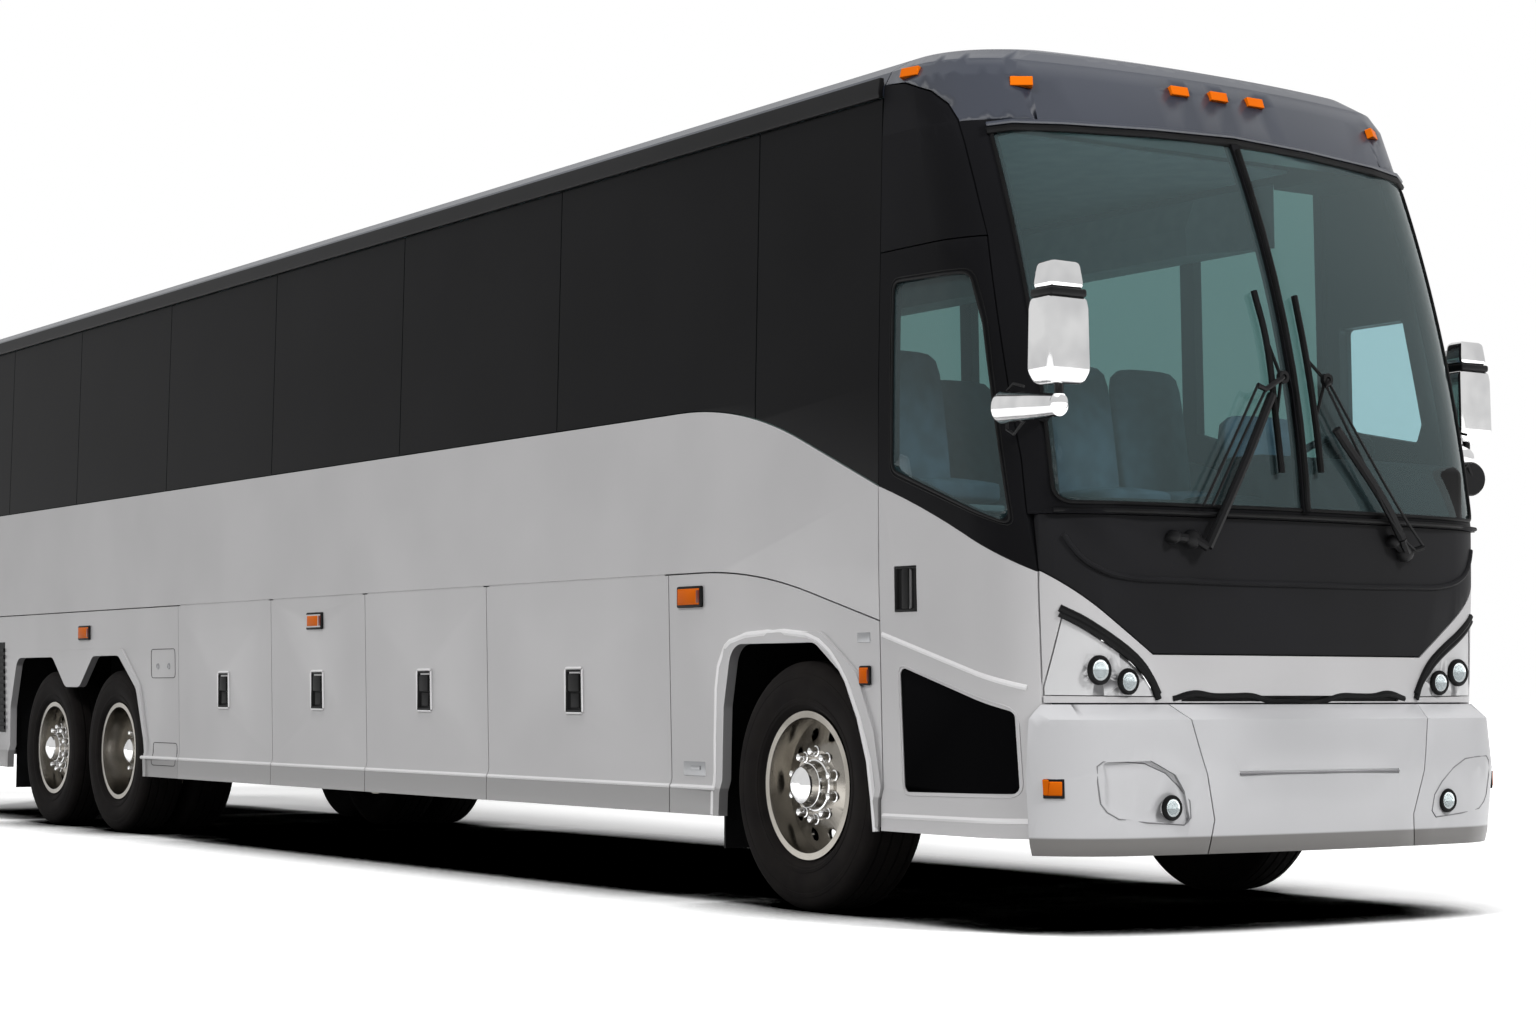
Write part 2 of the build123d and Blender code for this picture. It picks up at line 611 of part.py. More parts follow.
BUMPER_SEAM = ((-694, 900), (-639, 813), (-607, 679), (-538, 430), (-560, 280))
FOG_RECESS = ((-1040, 655), (-840, 660), (-735, 605), (-690, 545), (-650, 415), (-960, 440), (-1030, 500))
FOG_LAMP = (-745, 480, 40)
PRESS_BAND = (-430, 430, 596, 616)


def front_bumper():
    shell = bumper_form(0) - bumper_form(BUMPER_WALL) - bumper_plan(BUMPER_WALL + 100, BEAM_Z, BUMPER_TOP + 10)
    shell = shell & block(X_NOSE - DOOR_EDGE_SETBACK + SEAM / 2, X_NOSE + 10, -1400, 1400, 0, BUMPER_TOP)
    seam = [(y - SEAM / 2, z) for y, z in BUMPER_SEAM] + [(y + SEAM / 2, z) for y, z in reversed(BUMPER_SEAM)]
    cut = front_prism(seam, X_NOSE - 600, X_NOSE + 20)
    recess = (bumper_form(-5) - bumper_form(14)) & front_prism(FOG_RECESS, X_NOSE - 500, X_NOSE + 20, 18)
    groove = (bumper_form(-5) - bumper_form(5)) & block(X_NOSE - 300, X_NOSE + 20, *PRESS_BAND)
    shell = shell - cut - flip(cut) - recess - flip(recess) - groove
    y, z, radius = FOG_LAMP
    hole = Pos(X_NOSE - 60, y, z) * Rot(0, 90, 0) * Cylinder(radius + 1, 200)
    return shell - hole - flip(hole)


def front_lamps():
    """Headlamps and fog lamps, both sides."""
    y, z, radius = FOG_LAMP
    x = surface_x(y, X_NOSE - 14, 460, BUMPER_BOW, HALF_WIDTH)
    fog = Pos(x - 20, y, z) * Rot(0, 90, 0) * Cylinder(radius, 44)
    lamp = headlamp()
    return group(lamp, flip(lamp), fog, flip(fog))


def grilles():
    """Slot grille in the nose and the louvred intake grilles behind the tag wheels."""
    bars = (face_shell(12, PANEL)) & block(X_NOSE - 300, X_NOSE, SLOT[0] + SEAT_GAP, SLOT[1] - SEAT_GAP,
                                       SLOT[2] + SEAT_GAP, SLOT[3] - SEAT_GAP)
    x0, x1 = X_TAG - 1450, X_TAG - 850
    back = side_slab(x0, x1, 620, 1260, -2, -SEAT_GAP)
    side = back
    for i in range(12):
        z = 640 + i * 50
        side = side + side_slab(x0, x1, z, z + 26, -14, -SEAT_GAP)
    return group(bars, side, flip(side))


# ---------------------------------------------------------------- rear
ENGINE_DOOR = (-900, 900, 700, 1780)
TAIL_LAMP_HOLE = ((-1175, 880), (-1060, 880), (-1060, 1480), (-1175, 1480))
TAIL_LAMPS = ((-1118, 960, 50), (-1118, 1090, 50), (-1118, 1220, 50), (-1118, 1350, 50))


def rear_panel():
    shell = rear_shell(0, PANEL) & block(X_TAIL, X_REAR - SEAM / 2, -1500, 1500, 440, 3180)
    roof_band = (tail_cap_form(0) - tail_cap_form(ROOF)) & block(X_TAIL, X_REAR - SEAM / 2, -1500, 1500, 3180, HEIGHT)
    y0, y1, z0, z1 = ENGINE_DOOR
    shell = shell + roof_band - block(X_TAIL, X_REAR - 100, y0, y1, z0, z1)
    shell = shell - front_prism(REAR_WINDOW, X_TAIL, X_REAR, 55)
    hole = front_prism(TAIL_LAMP_HOLE, X_TAIL, X_TAIL + 200, 20)
    return shell - hole - flip(hole)


def engine_door():
    y0, y1, z0, z1 = ENGINE_DOOR
    door = rear_shell(0, PANEL) & block(X_TAIL, X_REAR - 100, y0 + SEAM, y1 - SEAM, z0 + SEAM, z1 - SEAM)
    for i in range(9):
        door = door - block(X_TAIL, X_TAIL + 68, -620, 620, 860 + i * 60, 886 + i * 60)
    pin_x, pin_z = X_TAIL + side_in(z1, REAR_ROWS) + HINGE_RADIUS + SEAT_GAP, z1 - SEAT_GAP - HINGE_RADIUS
    door = door + rod((pin_x, -150, pin_z), (pin_x, 150, pin_z), HINGE_RADIUS)
    return door + block(pin_x - 1, pin_x + 1, -150, 150, z1 - SEAM - 1, pin_z)


def tail_lamps():
    base = rear_shell(3, PANEL) & front_prism(shrunk(TAIL_LAMP_HOLE, 0.985), X_TAIL, X_TAIL + 200, 18)
    for y, z, radius in TAIL_LAMPS:
        base = base + Pos(X_TAIL + 118, y, z) * Rot(0, 90, 0) * Cylinder(radius, 60)
    return group(base, flip(base))


def rear_bumper():
    rows = ((420, 10), (500, 0), (640, 5), (686, 40))
    def form(inset):
        wires = [plan_wire(z, HALF_WIDTH - 8 - inset, X_REAR + 60, (X_TAIL + s + inset, 230 - inset, REAR_BOW))
                 for z, s in rows]
        return Solid.make_loft(wires, True)
    outer = form(0) & block(X_TAIL - 10, X_REAR - SEAM, -1400, 1400, 400, 700)
    inner = rear_form(-SEAT_GAP) & block(X_TAIL, X_REAR, -1400, 1400, 400, 3000)
    return outer - inner - block(X_TAIL + 140, X_REAR + 200, -1150, 1150, 300, 800)


# ---------------------------------------------------------------- floors, bays and housings
HOUSING_HALF = 670        # half length of the front wheel housings
FRONT_WELL_IN = 520       # inner wall of the front housings from the centreline
REAR_WELL_IN = 520
AXLE_GAP = 170            # half width of the slots in the rear housings round the axles
HOUSING_TOP = DECK_Z - FLOOR_THICKNESS
X_WELL_REAR = X_TAG - 780
X_WELL_FRONT = X_DRIVE + 640
STEPS = 4                 # entrance steps below the driver's floor
STEP_Z = 430
STEP_DEPTH = 150
STEP_Y0, STEP_Y1 = -1190, -490


def floors():
    """Passenger deck with its wall rails, driver's floor and entrance steps, one welded structure."""
    edge = HALF_WIDTH - PANEL - 9
    front = X_STEER + HOUSING_HALF
    deck = block(X_REAR - 40, X_CAB - 20, -edge, edge, DECK_Z - FLOOR_THICKNESS, DECK_Z)
    rail = block(X_REAR - 40, X_CAB - 40, -edge, -edge + 50, DECK_Z, 1500)
    rail = rail + block(X_REAR + 10, X_STEER - 400, -HALF_WIDTH + PANEL, -edge + 50, 1452, 1500)
    cab = block(X_CAB - 20, front, -edge, edge, DECK_Z - FLOOR_THICKNESS, DECK_Z)
    cab = cab + block(front, X_NOSE - 200, STEP_Y1, 1160, COCKPIT_Z - FLOOR_THICKNESS, COCKPIT_Z)
    cab = cab + block(front, front + 20, -edge, edge, COCKPIT_Z - FLOOR_THICKNESS, DECK_Z)
    rise = (COCKPIT_Z - STEP_Z) / STEPS
    for i in range(STEPS):
        z, y = STEP_Z + i * rise, STEP_Y0 + i * STEP_DEPTH
        cab = cab + block(front, X_NOSE - 430, y, STEP_Y1 + 20, z - 30, z)
        cab = cab + block(front, X_NOSE - 430, y + STEP_DEPTH, y + STEP_DEPTH + 20, z - 30, z + rise)
    cab = cab + block(front, X_NOSE - 430, STEP_Y0 + STEPS * STEP_DEPTH, STEP_Y1 + 20, COCKPIT_Z - 30, COCKPIT_Z)
    cab = cab + block(front, front + 260, -370, 370, COCKPIT_Z, (COCKPIT_Z + DECK_Z) / 2)
    return deck + rail + flip(rail) + (cab & nose_form(FACE_ROWS, CAB_LINING, True))


def luggage_bays():
    """Bay floor and the bulkheads between the bays."""
    inner = HALF_WIDTH - PANEL - 33
    x0, x1 = X_STEER + BAY_SEAMS[-1], X_STEER + BAY_SEAMS[0]
    bays = block(x0, x1, -inner, inner, BAY_FLOOR_Z - 25, BAY_FLOOR_Z)
    for seam in BAY_SEAMS:
        x = X_STEER + seam
        bays = bays + block(x - 15, x + 15, -inner, inner, BAY_FLOOR_Z - 25, DECK_Z - FLOOR_THICKNESS)
    return bays


def chassis_frame():
    """Two long rails ahead of and behind the luggage bays, with cross members, bumper arms and tow eyes."""
    rear_end, front_end = X_TAIL + 260, X_NOSE - 250
    rear_z, front_z = REAR_RAIL_Z, FRONT_RAIL_Z
    right = block(rear_end, X_STEER + BAY_SEAMS[-1] - 15, -RAIL_HALF - RAIL_HALF_WIDTH, -RAIL_HALF + RAIL_HALF_WIDTH,
                  rear_z, rear_z + RAIL_HEIGHT)
    right = right + block(X_STEER + BAY_SEAMS[0] + 15, front_end, -RAIL_HALF - RAIL_HALF_WIDTH,
                          -RAIL_HALF + RAIL_HALF_WIDTH, front_z, front_z + RAIL_HEIGHT)
    beam = block(front_end, X_NOSE, -BEAM_HALF, 0, BEAM_Z, BEAM_Z + BEAM_HEIGHT)
    beam = beam - bumper_plan(BUMPER_WALL + 60, BEAM_Z - 10, BEAM_Z + BEAM_HEIGHT + 10)
    beam = beam + block(front_end - 60, front_end + 130, -RAIL_HALF - 30, -RAIL_HALF + 30, BEAM_Z, front_z + 20)
    right = right + (beam & bumper_form(BUMPER_WALL + SEAT_GAP))
    inboard = RAIL_HALF_WIDTH - RAIL_HALF
    for x, top in ((front_end - 90, front_z), (rear_end + 60, rear_z)):
        eye = block(x - 60, x + 60, inboard - 2 * RAIL_HALF_WIDTH, inboard + 90, top - TOW_PLATE, top)
        right = right + eye - Pos(x, inboard + 45, top) * Cylinder(TOW_EYE_RADIUS, 4 * TOW_PLATE)
    frame = right + flip(right)
    for x in (X_TAIL + 320, X_TAG - 700, X_TAG + 610, X_DRIVE + 700):
        frame = frame + block(x - 40, x + 40, -RAIL_HALF, RAIL_HALF, rear_z + 20, rear_z + 160)
    for x in (X_STEER - 800, X_STEER + 760, front_end - 60):
        frame = frame + block(x - 40, x + 40, -RAIL_HALF, RAIL_HALF, front_z + 20, front_z + 160)
    return frame


def housing(x0, x1, y_in, flap_x):
    """Right-hand wheel box: inner wall, top and ends, open outwards and down."""
    y0 = -(HALF_WIDTH - max(tuck for _, tuck in SIDE_PROFILE) - PANEL - SEAT_GAP)
    box = block(x0, x1, y0, -y_in, 500, HOUSING_TOP) - block(x0 + PLATE, x1 - PLATE, y0 - 50, -y_in - PLATE, 400, HOUSING_TOP - PLATE)
    flap = block(flap_x - 6, flap_x + 6, y0 + 20, -760, 230, 520)
    return box + flap


def wheel_housings():
    front = housing(X_STEER - HOUSING_HALF, X_STEER + HOUSING_HALF - 20, FRONT_WELL_IN, X_STEER - HOUSING_HALF + 6)
    rear = housing(X_WELL_REAR, X_WELL_FRONT, REAR_WELL_IN, X_WELL_REAR + 6)
    for x in (X_TAG, X_DRIVE):
        rear = rear - block(x - AXLE_GAP, x + AXLE_GAP, -REAR_WELL_IN - 50, -REAR_WELL_IN + 50, 0, AXLE_Z + 240)
    return group(front, flip(front), rear, flip(rear))


def engine_block():
    side = RAIL_HALF - RAIL_HALF_WIDTH
    return block(X_TAIL + 420, X_TAG - 800, -side, side, 520, 1300)


# ---------------------------------------------------------------- axles and wheels
HUB_RADIUS = 140
FRONT_DISC = -70          # single wheels: disc face from the middle of the tyre, outwards negative
TWIN_DISC = 20
DRUM_SHIFT = 40
KNUCKLE_Y = KINGPIN_TRACK / 2
PIN_RADIUS = 30
HINGE_RADIUS = 2.5        # pins of the luggage and engine doors' long hinges
PIN_CLEARANCE = 0.05


def ring(profile, y):
    """Turns an (axial, radial) outline about an axle line at y, facing outwards to the right (-Y)."""
    face = make_face(Polyline(*[(r, a) for a, r in profile], close=True))
    face = Plane(origin=(0, 0, 0), x_dir=(1, 0, 0), z_dir=(0, 0, 1)) * face
    return Pos(0, y, 0) * revolve(face, Axis.Y, 360)


def tyre(y):
    """Right-hand tyre centred on the wheel axis at side distance y."""
    h = TYRE_WIDTH / 2
    r = TYRE_RADIUS
    b = RIM_RADIUS + 14
    profile = ((-h + 34, r), (h - 34, r), (h - 8, r - 34), (h, r - 110), (h - 14, b + 40), (h - 42, b + 16),
               (h - 42, b), (-h + 42, b), (-h + 42, b + 16), (-h + 14, b + 40), (-h, r - 110), (-h + 8, r - 34))
    return ring(profile, y)


def rim(disc):
    """Wheel: barrel with a disc; disc is the axial place of its face, outwards (-Y) negative."""
    h = TYRE_WIDTH / 2 - 42 + SEAT_GAP
    b = RIM_RADIUS + 14 - SEAT_GAP
    t = 14
    barrel = ring(((-h - 14, b + 14), (-h, b + 14), (-h, b), (h, b), (h, b + 14), (h + 14, b + 14),
                   (h + 14, b - t), (-h - 14, b - t)), 0)
    plate = ring(((disc, 20), (disc, 150), (disc + 34, 205), (disc + 60, b - t / 2), (disc + 74, b - t / 2),
                  (disc + 50, 205), (disc + 18, 150), (disc + 18, 20)), 0)
    wheel = barrel + plate
    for i in range(10):
        a = radians(36 * i + 18)
        wheel = wheel - Pos(222 * sin(a), 0, 222 * cos(a)) * Rot(90, 0, 0) * Cylinder(29, 400)
    return wheel


def hub(disc, cap):
    """Hub with its cap and ten wheel nuts, outwards from the disc."""
    body = Pos(0, disc + 40, 0) * Rot(90, 0, 0) * Cylinder(HUB_RADIUS - 20, 80)
    body = body + ring(((disc + 1, 0), (disc + 1, 108), (disc - cap * 0.45, 92), (disc - cap * 0.8, 74), (disc - cap, 40), (disc - cap, 0)), 0)
    for i in range(10):
        a = radians(36 * i)
        body = body + Pos(143 * sin(a), disc - 14, 143 * cos(a)) * Rot(90, 0, 0) * Cylinder(15, 34)
    return body


def single_wheel(disc, cap, y):
    return Pos(0, y, 0) * (rim(disc) + hub(disc, cap))


def twin_wheel():
    outer = -TWIN_OUTER_TRACK / 2
    inner = outer + TWIN_SPACING
    wheel = Pos(0, outer, 0) * (rim(TWIN_DISC) + hub(TWIN_DISC, 90)) + Pos(0, inner, 0) * rim(-74)
    drum = Pos(0, (outer + inner) / 2 + DRUM_SHIFT, 0) * Rot(90, 0, 0) * Cylinder(HUB_RADIUS - 20, TWIN_SPACING - 60)
    return wheel + drum


def steering_knuckle():
    """Right-hand knuckle: kingpin between the beam's eyes, and the stub axle."""
    pin = Pos(0, -KNUCKLE_Y, 0) * Cylinder(PIN_RADIUS, 300)
    top = Pos(0, -KNUCKLE_Y, 135) * Cylinder(60, 50)
    low = Pos(0, -KNUCKLE_Y, -135) * Cylinder(60, 50)
    web = block(-55, 55, -KNUCKLE_Y - 92, -KNUCKLE_Y - 62, -160, 160)
    ears = block(-45, 45, -KNUCKLE_Y - 70, -KNUCKLE_Y - 20, 110, 160) + block(-45, 45, -KNUCKLE_Y - 70, -KNUCKLE_Y - 20, -160, -110)
    hub_end = FRONT_TRACK / 2 + -FRONT_DISC - 80 - SEAT_GAP
    stub = rod((0, -KNUCKLE_Y - 80, 0), (0, -hub_end, 0), 45)
    return pin + top + low + web + ears + stub


def front_axle():
    """Dropped beam with an eye at each end, and its spring seats."""
    eye = Pos(0, -KNUCKLE_Y, 0) * Cylinder(58, 200) - Pos(0, -KNUCKLE_Y, 0) * Cylinder(PIN_RADIUS + PIN_CLEARANCE, 300)
    arm = block(-45, 45, -KNUCKLE_Y + 50, -KNUCKLE_Y + 120, -100, 95)
    beam = block(-50, 50, -KNUCKLE_Y + 115, KNUCKLE_Y - 115, -140, -40)
    seat = block(-110, 110, -520, -360, -40, 60) + block(-60, 60, -480, -400, 60, FRONT_RAIL_Z - AXLE_Z)
    half = eye + arm + seat
    return beam + half + flip(half)


def dead_axle(half_track, boss):
    """Axle tube with wheel ends and air spring seats."""
    tube = Rot(90, 0, 0) * Cylinder(70, 2 * half_track)
    seat = block(-120, 120, -510, -340, -90, 90) + block(-60, 60, -470, -390, 90, REAR_RAIL_Z - AXLE_Z)
    return tube + seat + flip(seat) + boss


def rear_axles():
    """Drive axle with its differential, and the tag axle."""
    end = TWIN_OUTER_TRACK / 2 - TWIN_SPACING / 2 - DRUM_SHIFT - (TWIN_SPACING - 60) / 2 - SEAT_GAP
    diff = Sphere(215)
    drive = dead_axle(end, diff)
    tag = dead_axle(TWIN_OUTER_TRACK / 2 - FRONT_DISC - 80 - SEAT_GAP, Cylinder(60, 60))
    return group(Pos(X_DRIVE, 0, AXLE_Z) * drive, Pos(X_TAG, 0, AXLE_Z) * tag)


# ---------------------------------------------------------------- doors
def luggage_door(index):
    front = X_STEER + BAY_SEAMS[index] - SEAM / 2
    rear = X_STEER + BAY_SEAMS[index + 1] + SEAM / 2
    door = side_slab(rear, front, SKIRT_Z, GROOVE_Z - SEAM / 2, 0, PANEL)
    x = (front + rear) / 2
    y = -HALF_WIDTH
    pocket = block(x - 78, x + 78, y - 20, y + 28, 818, 1026)
    grip = block(x - 50, x + 50, y + 14, y + 26, 925, 1030)
    door = door - pocket + grip
    pin_z, pin_y = GROOVE_Z + SEAM / 2 - SEAT_GAP - HINGE_RADIUS, y + HINGE_RADIUS + SEAT_GAP
    door = door + rod((rear + 30, pin_y, pin_z), (front - 30, pin_y, pin_z), HINGE_RADIUS)
    door = door + block(rear + 30, front - 30, pin_y - 1, pin_y + 1, GROOVE_Z - SEAM / 2 - 1, pin_z)
    if index == DOOR_LAMP[0]:
        door = door + side_lamp(*DOOR_LAMP[1:], sunk=PANEL / 2)
    return door


DOOR_WINDOW = ((705, 2570), (1160, 2558), (1235, 2350), (1398, 1565), (705, 1815))
DOOR_LOWER_GLASS = ((735, 1022), (1400, 842), (1410, 530), (750, 520))


def door_shell(outer, inner):
    return (face_shell(outer, inner) + screen_shell(outer, inner)) & block(X_CAB - 100, X_NOSE, -1500, -1000, 0, HEIGHT)


def entrance_door():
    edge = from_nose(DOOR_EDGE)
    gap = SEAM / 2
    points = [(X_CAB + gap, SKIRT_Z - 15), (edge[0][0] - gap, SKIRT_Z - 15)] + [(x - gap, z) for x, z in edge[1:3]]
    points += [(edge[3][0] - gap, DOOR_TOP_Z - gap), (X_CAB + gap, DOOR_TOP_Z - gap)]
    door = door_shell(0, PANEL) & side_prism(points, -2000, 0)
    door = door - side_prism(from_axle(DOOR_WINDOW), -2000, 0, 30) - side_prism(from_axle(DOOR_LOWER_GLASS), -2000, 0, 30)
    pocket = block(X_CAB + 105, X_CAB + 255, -1320, -1268, 1238, 1422)
    grip = block(X_CAB + 160, X_CAB + 205, -1288, -1276, 1233, 1427)
    return door - pocket + grip


def door_glass():
    shell = door_shell(4, 24)
    window = shell & side_prism(from_axle(shrunk(DOOR_WINDOW, 0.998)), -2000, 0, 30)
    lower = shell & side_prism(from_axle(shrunk(DOOR_LOWER_GLASS, 0.998)), -2000, 0, 30)
    return group(window, lower)


# ---------------------------------------------------------------- outside fittings
MIRROR_Y = 1520                             # middle of either mirror's heads from the centreline
MIRROR_AHEAD = X_NOSE + MIRROR_REACH - 79   # right heads, carried ahead of the screen
MIRROR_BESIDE = X_STEER + 1160              # left heads, beside the driver's window post


def mirror_heads(x, y):
    """Flat mirror below and wide-angle mirror above, on one stem."""
    head = Pos(x, y, 2190) * fillet(Box(158, 215, 330).edges(), 42)
    upper = Pos(x, y, 2412) * fillet(Box(140, 170, 120).edges(), 36)
    neck = rod((x, y, 2340), (x, y, 2370), 40)
    return head + upper + neck + rod((x, y, 1950), (x, y, 2060), 18)


def mirrors():
    """Chrome mirror heads on arms from the posts beside the screen."""
    base = X_NOSE - 270
    arm = rod((base + 45, -1395, 1960), (MIRROR_AHEAD, -MIRROR_Y, 1960), 34)
    root = rod((base + 45, -1400, 1960), (base - 70, -1130, 1960), 40)
    right = mirror_heads(MIRROR_AHEAD, -MIRROR_Y) + arm + root
    bracket = rod((X_STEER + 1290, 1140, 1960), (MIRROR_BESIDE, MIRROR_Y, 1960), 34)
    left = mirror_heads(MIRROR_BESIDE, MIRROR_Y) + bracket
    outside = screen_outer_trim()
    return group(right - outside, left - outside)


def screen_outer_trim():
    return nose_form(SCREEN_ROWS, -SEAT_GAP, False)


def wipers():
    """Two wipers: pivot, arm, link and blade, parked upright beside the divider."""
    sets = []
    for way, pivot_y, top_y, blade_y in ((1, -615, -160, -140), (1, 550, 160, 85)):
        foot = (X_NOSE - 40, pivot_y, 1540)
        knee = (X_NOSE - 70, pivot_y * 0.97, 1600)
        top = (X_NOSE - 145, top_y, 2160)
        arm = rod(foot, knee, 14) + rod(knee, top, 12)
        boss = Pos(X_NOSE - 100, pivot_y, 1540) * Rot(0, 90, 0) * Cylinder(28, 140)
        blade = rod((X_NOSE - 200, blade_y - 60 * (1 if pivot_y < 0 else -0.6), 2500), top, 9)
        blade = blade + rod(top, (X_NOSE - 85, blade_y + 20, 1800), 9)
        sets.append(arm + boss + blade)
    cut = screen_outer_trim() + nose_form(FACE_ROWS, -SEAT_GAP, True)
    return group(*[s - cut for s in sets])


# ---------------------------------------------------------------- inside
SEAT_PITCH = 860
SEAT_ROWS = 12


def seat(x, y, width, z):
    base = block(x - 230, x + 230, y - width / 2, y + width / 2, z + 330, z + 450)
    back = side_prism([(x - 230, z + 330), (x - 120, z + 330), (x - 250, z + 1080), (x - 350, z + 1080)],
                      y - width / 2, y + width / 2)
    leg = block(x - 160, x + 160, y - 120, y + 120, z, z + 330)
    return base + back + leg


def seats():
    """Driver's seat and the paired passenger seats."""
    pieces = [seat(X_STEER + 1010, 690, 520, COCKPIT_Z + SEAT_GAP)]
    for i in range(SEAT_ROWS):
        x = X_STEER - 60 - i * SEAT_PITCH
        for y in (-720, 720):
            pieces.append(seat(x, y, 900, DECK_Z + SEAT_GAP))
    return group(*pieces)


def parcel_racks():
    def wall(z):
        return -(HALF_WIDTH - side_in(z) - PANEL - FRAME_DEPTH - SEAT_GAP)
    right = front_prism([(wall(2980), 2980), (-650, 2900), (-640, 3020), (-700, 3160), (wall(3280), 3280)],
                        X_REAR + 100, X_STEER + 300)
    return group(right, flip(right))


def dashboard():
    """Driver's dash on the left of the cockpit."""
    x1 = X_NOSE - 270
    dash = side_prism([(x1 - 280, COCKPIT_Z + 250), (x1 - 260, COCKPIT_Z + 700), (x1 - 150, COCKPIT_Z + 790),
                       (x1 + 60, COCKPIT_Z + 640), (x1 + 60, COCKPIT_Z), (x1 - 250, COCKPIT_Z)], 80, 1150)
    cowl = side_prism([(x1 - 160, COCKPIT_Z + 420), (x1 + 60, COCKPIT_Z + 520), (x1 + 60, COCKPIT_Z),
                       (x1 - 160, COCKPIT_Z)], -1150, 80)
    return (dash + cowl) & cabin_form(CAB_LINING)


def steering_wheel():
    centre = (X_NOSE - 690, 690, COCKPIT_Z + 800)
    wheel = Pos(*centre) * Rot(0, -35, 0) * (Torus(225, 16) + Cylinder(60, 50) + Box(430, 36, 18) + Box(36, 430, 18))
    column = rod(centre, (X_NOSE - 640 + 120, 690, COCKPIT_Z + 640), 30)
    return wheel + (column - dashboard())


def driver_window():
    return (screen_shell(6, 26)) & driver_window_hole(2)


# ---------------------------------------------------------------- build every node
def build_nodes():
    nodes = {}
    nodes["roof"] = roof()
    nodes["front_cap"] = front_cap()
    nodes["corner_panels"] = corner_panels()
    nodes["belt_panels"] = belt_panels()
    nodes["quarter_panels"] = quarter_panels()
    nodes["side_glass"] = side_glass()
    nodes["window_frame"] = window_frame()
    nodes["gutter_rails"] = gutter_rails()
    nodes["marker_lamps"] = marker_lamps()
    nodes["windscreen_frame"] = windscreen_frame()
    nodes["windscreen"] = windscreen()
    nodes["cab_frame"] = cab_frame()
    nodes["driver_window"] = driver_window()
    nodes["front_fascia"] = fascia()
    nodes["nose_panel"] = nose_panel()
    nodes["front_lamps"] = front_lamps()
    nodes["front_bumper"] = front_bumper()
    nodes["grilles"] = grilles()
    nodes["rear_panel"] = rear_panel()
    nodes["engine_door"] = engine_door()
    nodes["tail_lamps"] = tail_lamps()
    nodes["rear_bumper"] = rear_bumper()
    nodes["floors"] = floors()
    nodes["luggage_bays"] = luggage_bays()
    nodes["chassis_frame"] = chassis_frame()
    nodes["wheel_housings"] = wheel_housings()
    nodes["engine_block"] = engine_block()
    nodes["entrance_door"] = entrance_door()
    nodes["door_glass"] = door_glass()
    nodes["mirrors"] = mirrors()
    nodes["wipers"] = wipers()
    nodes["seats"] = seats()
    nodes["parcel_racks"] = parcel_racks()
    nodes["dashboard"] = dashboard()
    nodes["steering_wheel"] = steering_wheel()
    for i in range(len(BAY_SEAMS) - 1):
        door = luggage_door(i)
        nodes[f"luggage_door_right_{i + 1}"] = door
        nodes[f"luggage_door_left_{i + 1}"] = flip(door)
    knuckle = Pos(X_STEER, 0, AXLE_Z) * steering_knuckle()
    nodes["front_axle"] = Pos(X_STEER, 0, AXLE_Z) * front_axle()
    nodes["rear_axles"] = rear_axles()
    front_tyre = tyre(-FRONT_TRACK / 2)
    front_wheel = single_wheel(FRONT_DISC, 105, -FRONT_TRACK / 2)
    tag_tyre = tyre(-TWIN_OUTER_TRACK / 2)
    tag_wheel = single_wheel(FRONT_DISC, 95, -TWIN_OUTER_TRACK / 2)
    twin_tyres = group(tyre(-TWIN_OUTER_TRACK / 2), tyre(-TWIN_OUTER_TRACK / 2 + TWIN_SPACING))
    for axle, x, rubber, metal in (("front", X_STEER, front_tyre, front_wheel),
                                   ("drive", X_DRIVE, twin_tyres, twin_wheel()),
                                   ("tag", X_TAG, tag_tyre, tag_wheel)):
        place = Pos(x, 0, AXLE_Z)
        nodes[f"tyre_{axle}_right"] = place * rubber
        nodes[f"wheel_{axle}_right"] = place * metal
    for name in [n for n in nodes if n.endswith("_right") and n.startswith(("tyre_", "wheel_"))]:
        nodes[name.replace("_right", "_left")] = flip(nodes[name])
    nodes["knuckle_right"] = knuckle
    nodes["knuckle_left"] = flip(knuckle)
    return nodes


os.makedirs("parts", exist_ok=True)
for node, shape in build_nodes().items():
    export_step(shape, f"parts/{node}.step")
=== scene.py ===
"""Looks of an intercity coach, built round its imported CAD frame. Metres: +X forward, +Y left, +Z up."""

import json
import math

import bpy
from mathutils import Matrix, Vector
from mathutils.bvhtree import BVHTree


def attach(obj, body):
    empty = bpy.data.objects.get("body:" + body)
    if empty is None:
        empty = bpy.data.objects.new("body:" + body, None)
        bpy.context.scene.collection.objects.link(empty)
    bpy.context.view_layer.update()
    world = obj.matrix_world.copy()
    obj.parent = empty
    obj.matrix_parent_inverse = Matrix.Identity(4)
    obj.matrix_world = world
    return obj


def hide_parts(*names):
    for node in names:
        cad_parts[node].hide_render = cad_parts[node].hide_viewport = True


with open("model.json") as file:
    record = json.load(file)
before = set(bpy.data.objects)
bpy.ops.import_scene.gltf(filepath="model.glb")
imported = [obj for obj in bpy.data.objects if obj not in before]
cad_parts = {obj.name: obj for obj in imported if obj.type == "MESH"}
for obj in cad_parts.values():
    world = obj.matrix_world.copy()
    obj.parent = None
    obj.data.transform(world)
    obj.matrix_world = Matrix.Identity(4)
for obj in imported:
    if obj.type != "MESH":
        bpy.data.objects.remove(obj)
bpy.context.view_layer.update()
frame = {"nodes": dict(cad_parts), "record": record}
NODES = frame["nodes"]
BODY_OF = {node: body for body, nodes in frame["record"]["behaviour"]["bodies"].items() for node in nodes}
SLOT_OF = {row["node"]: row["material_slot"] for row in frame["record"]["subparts"]}

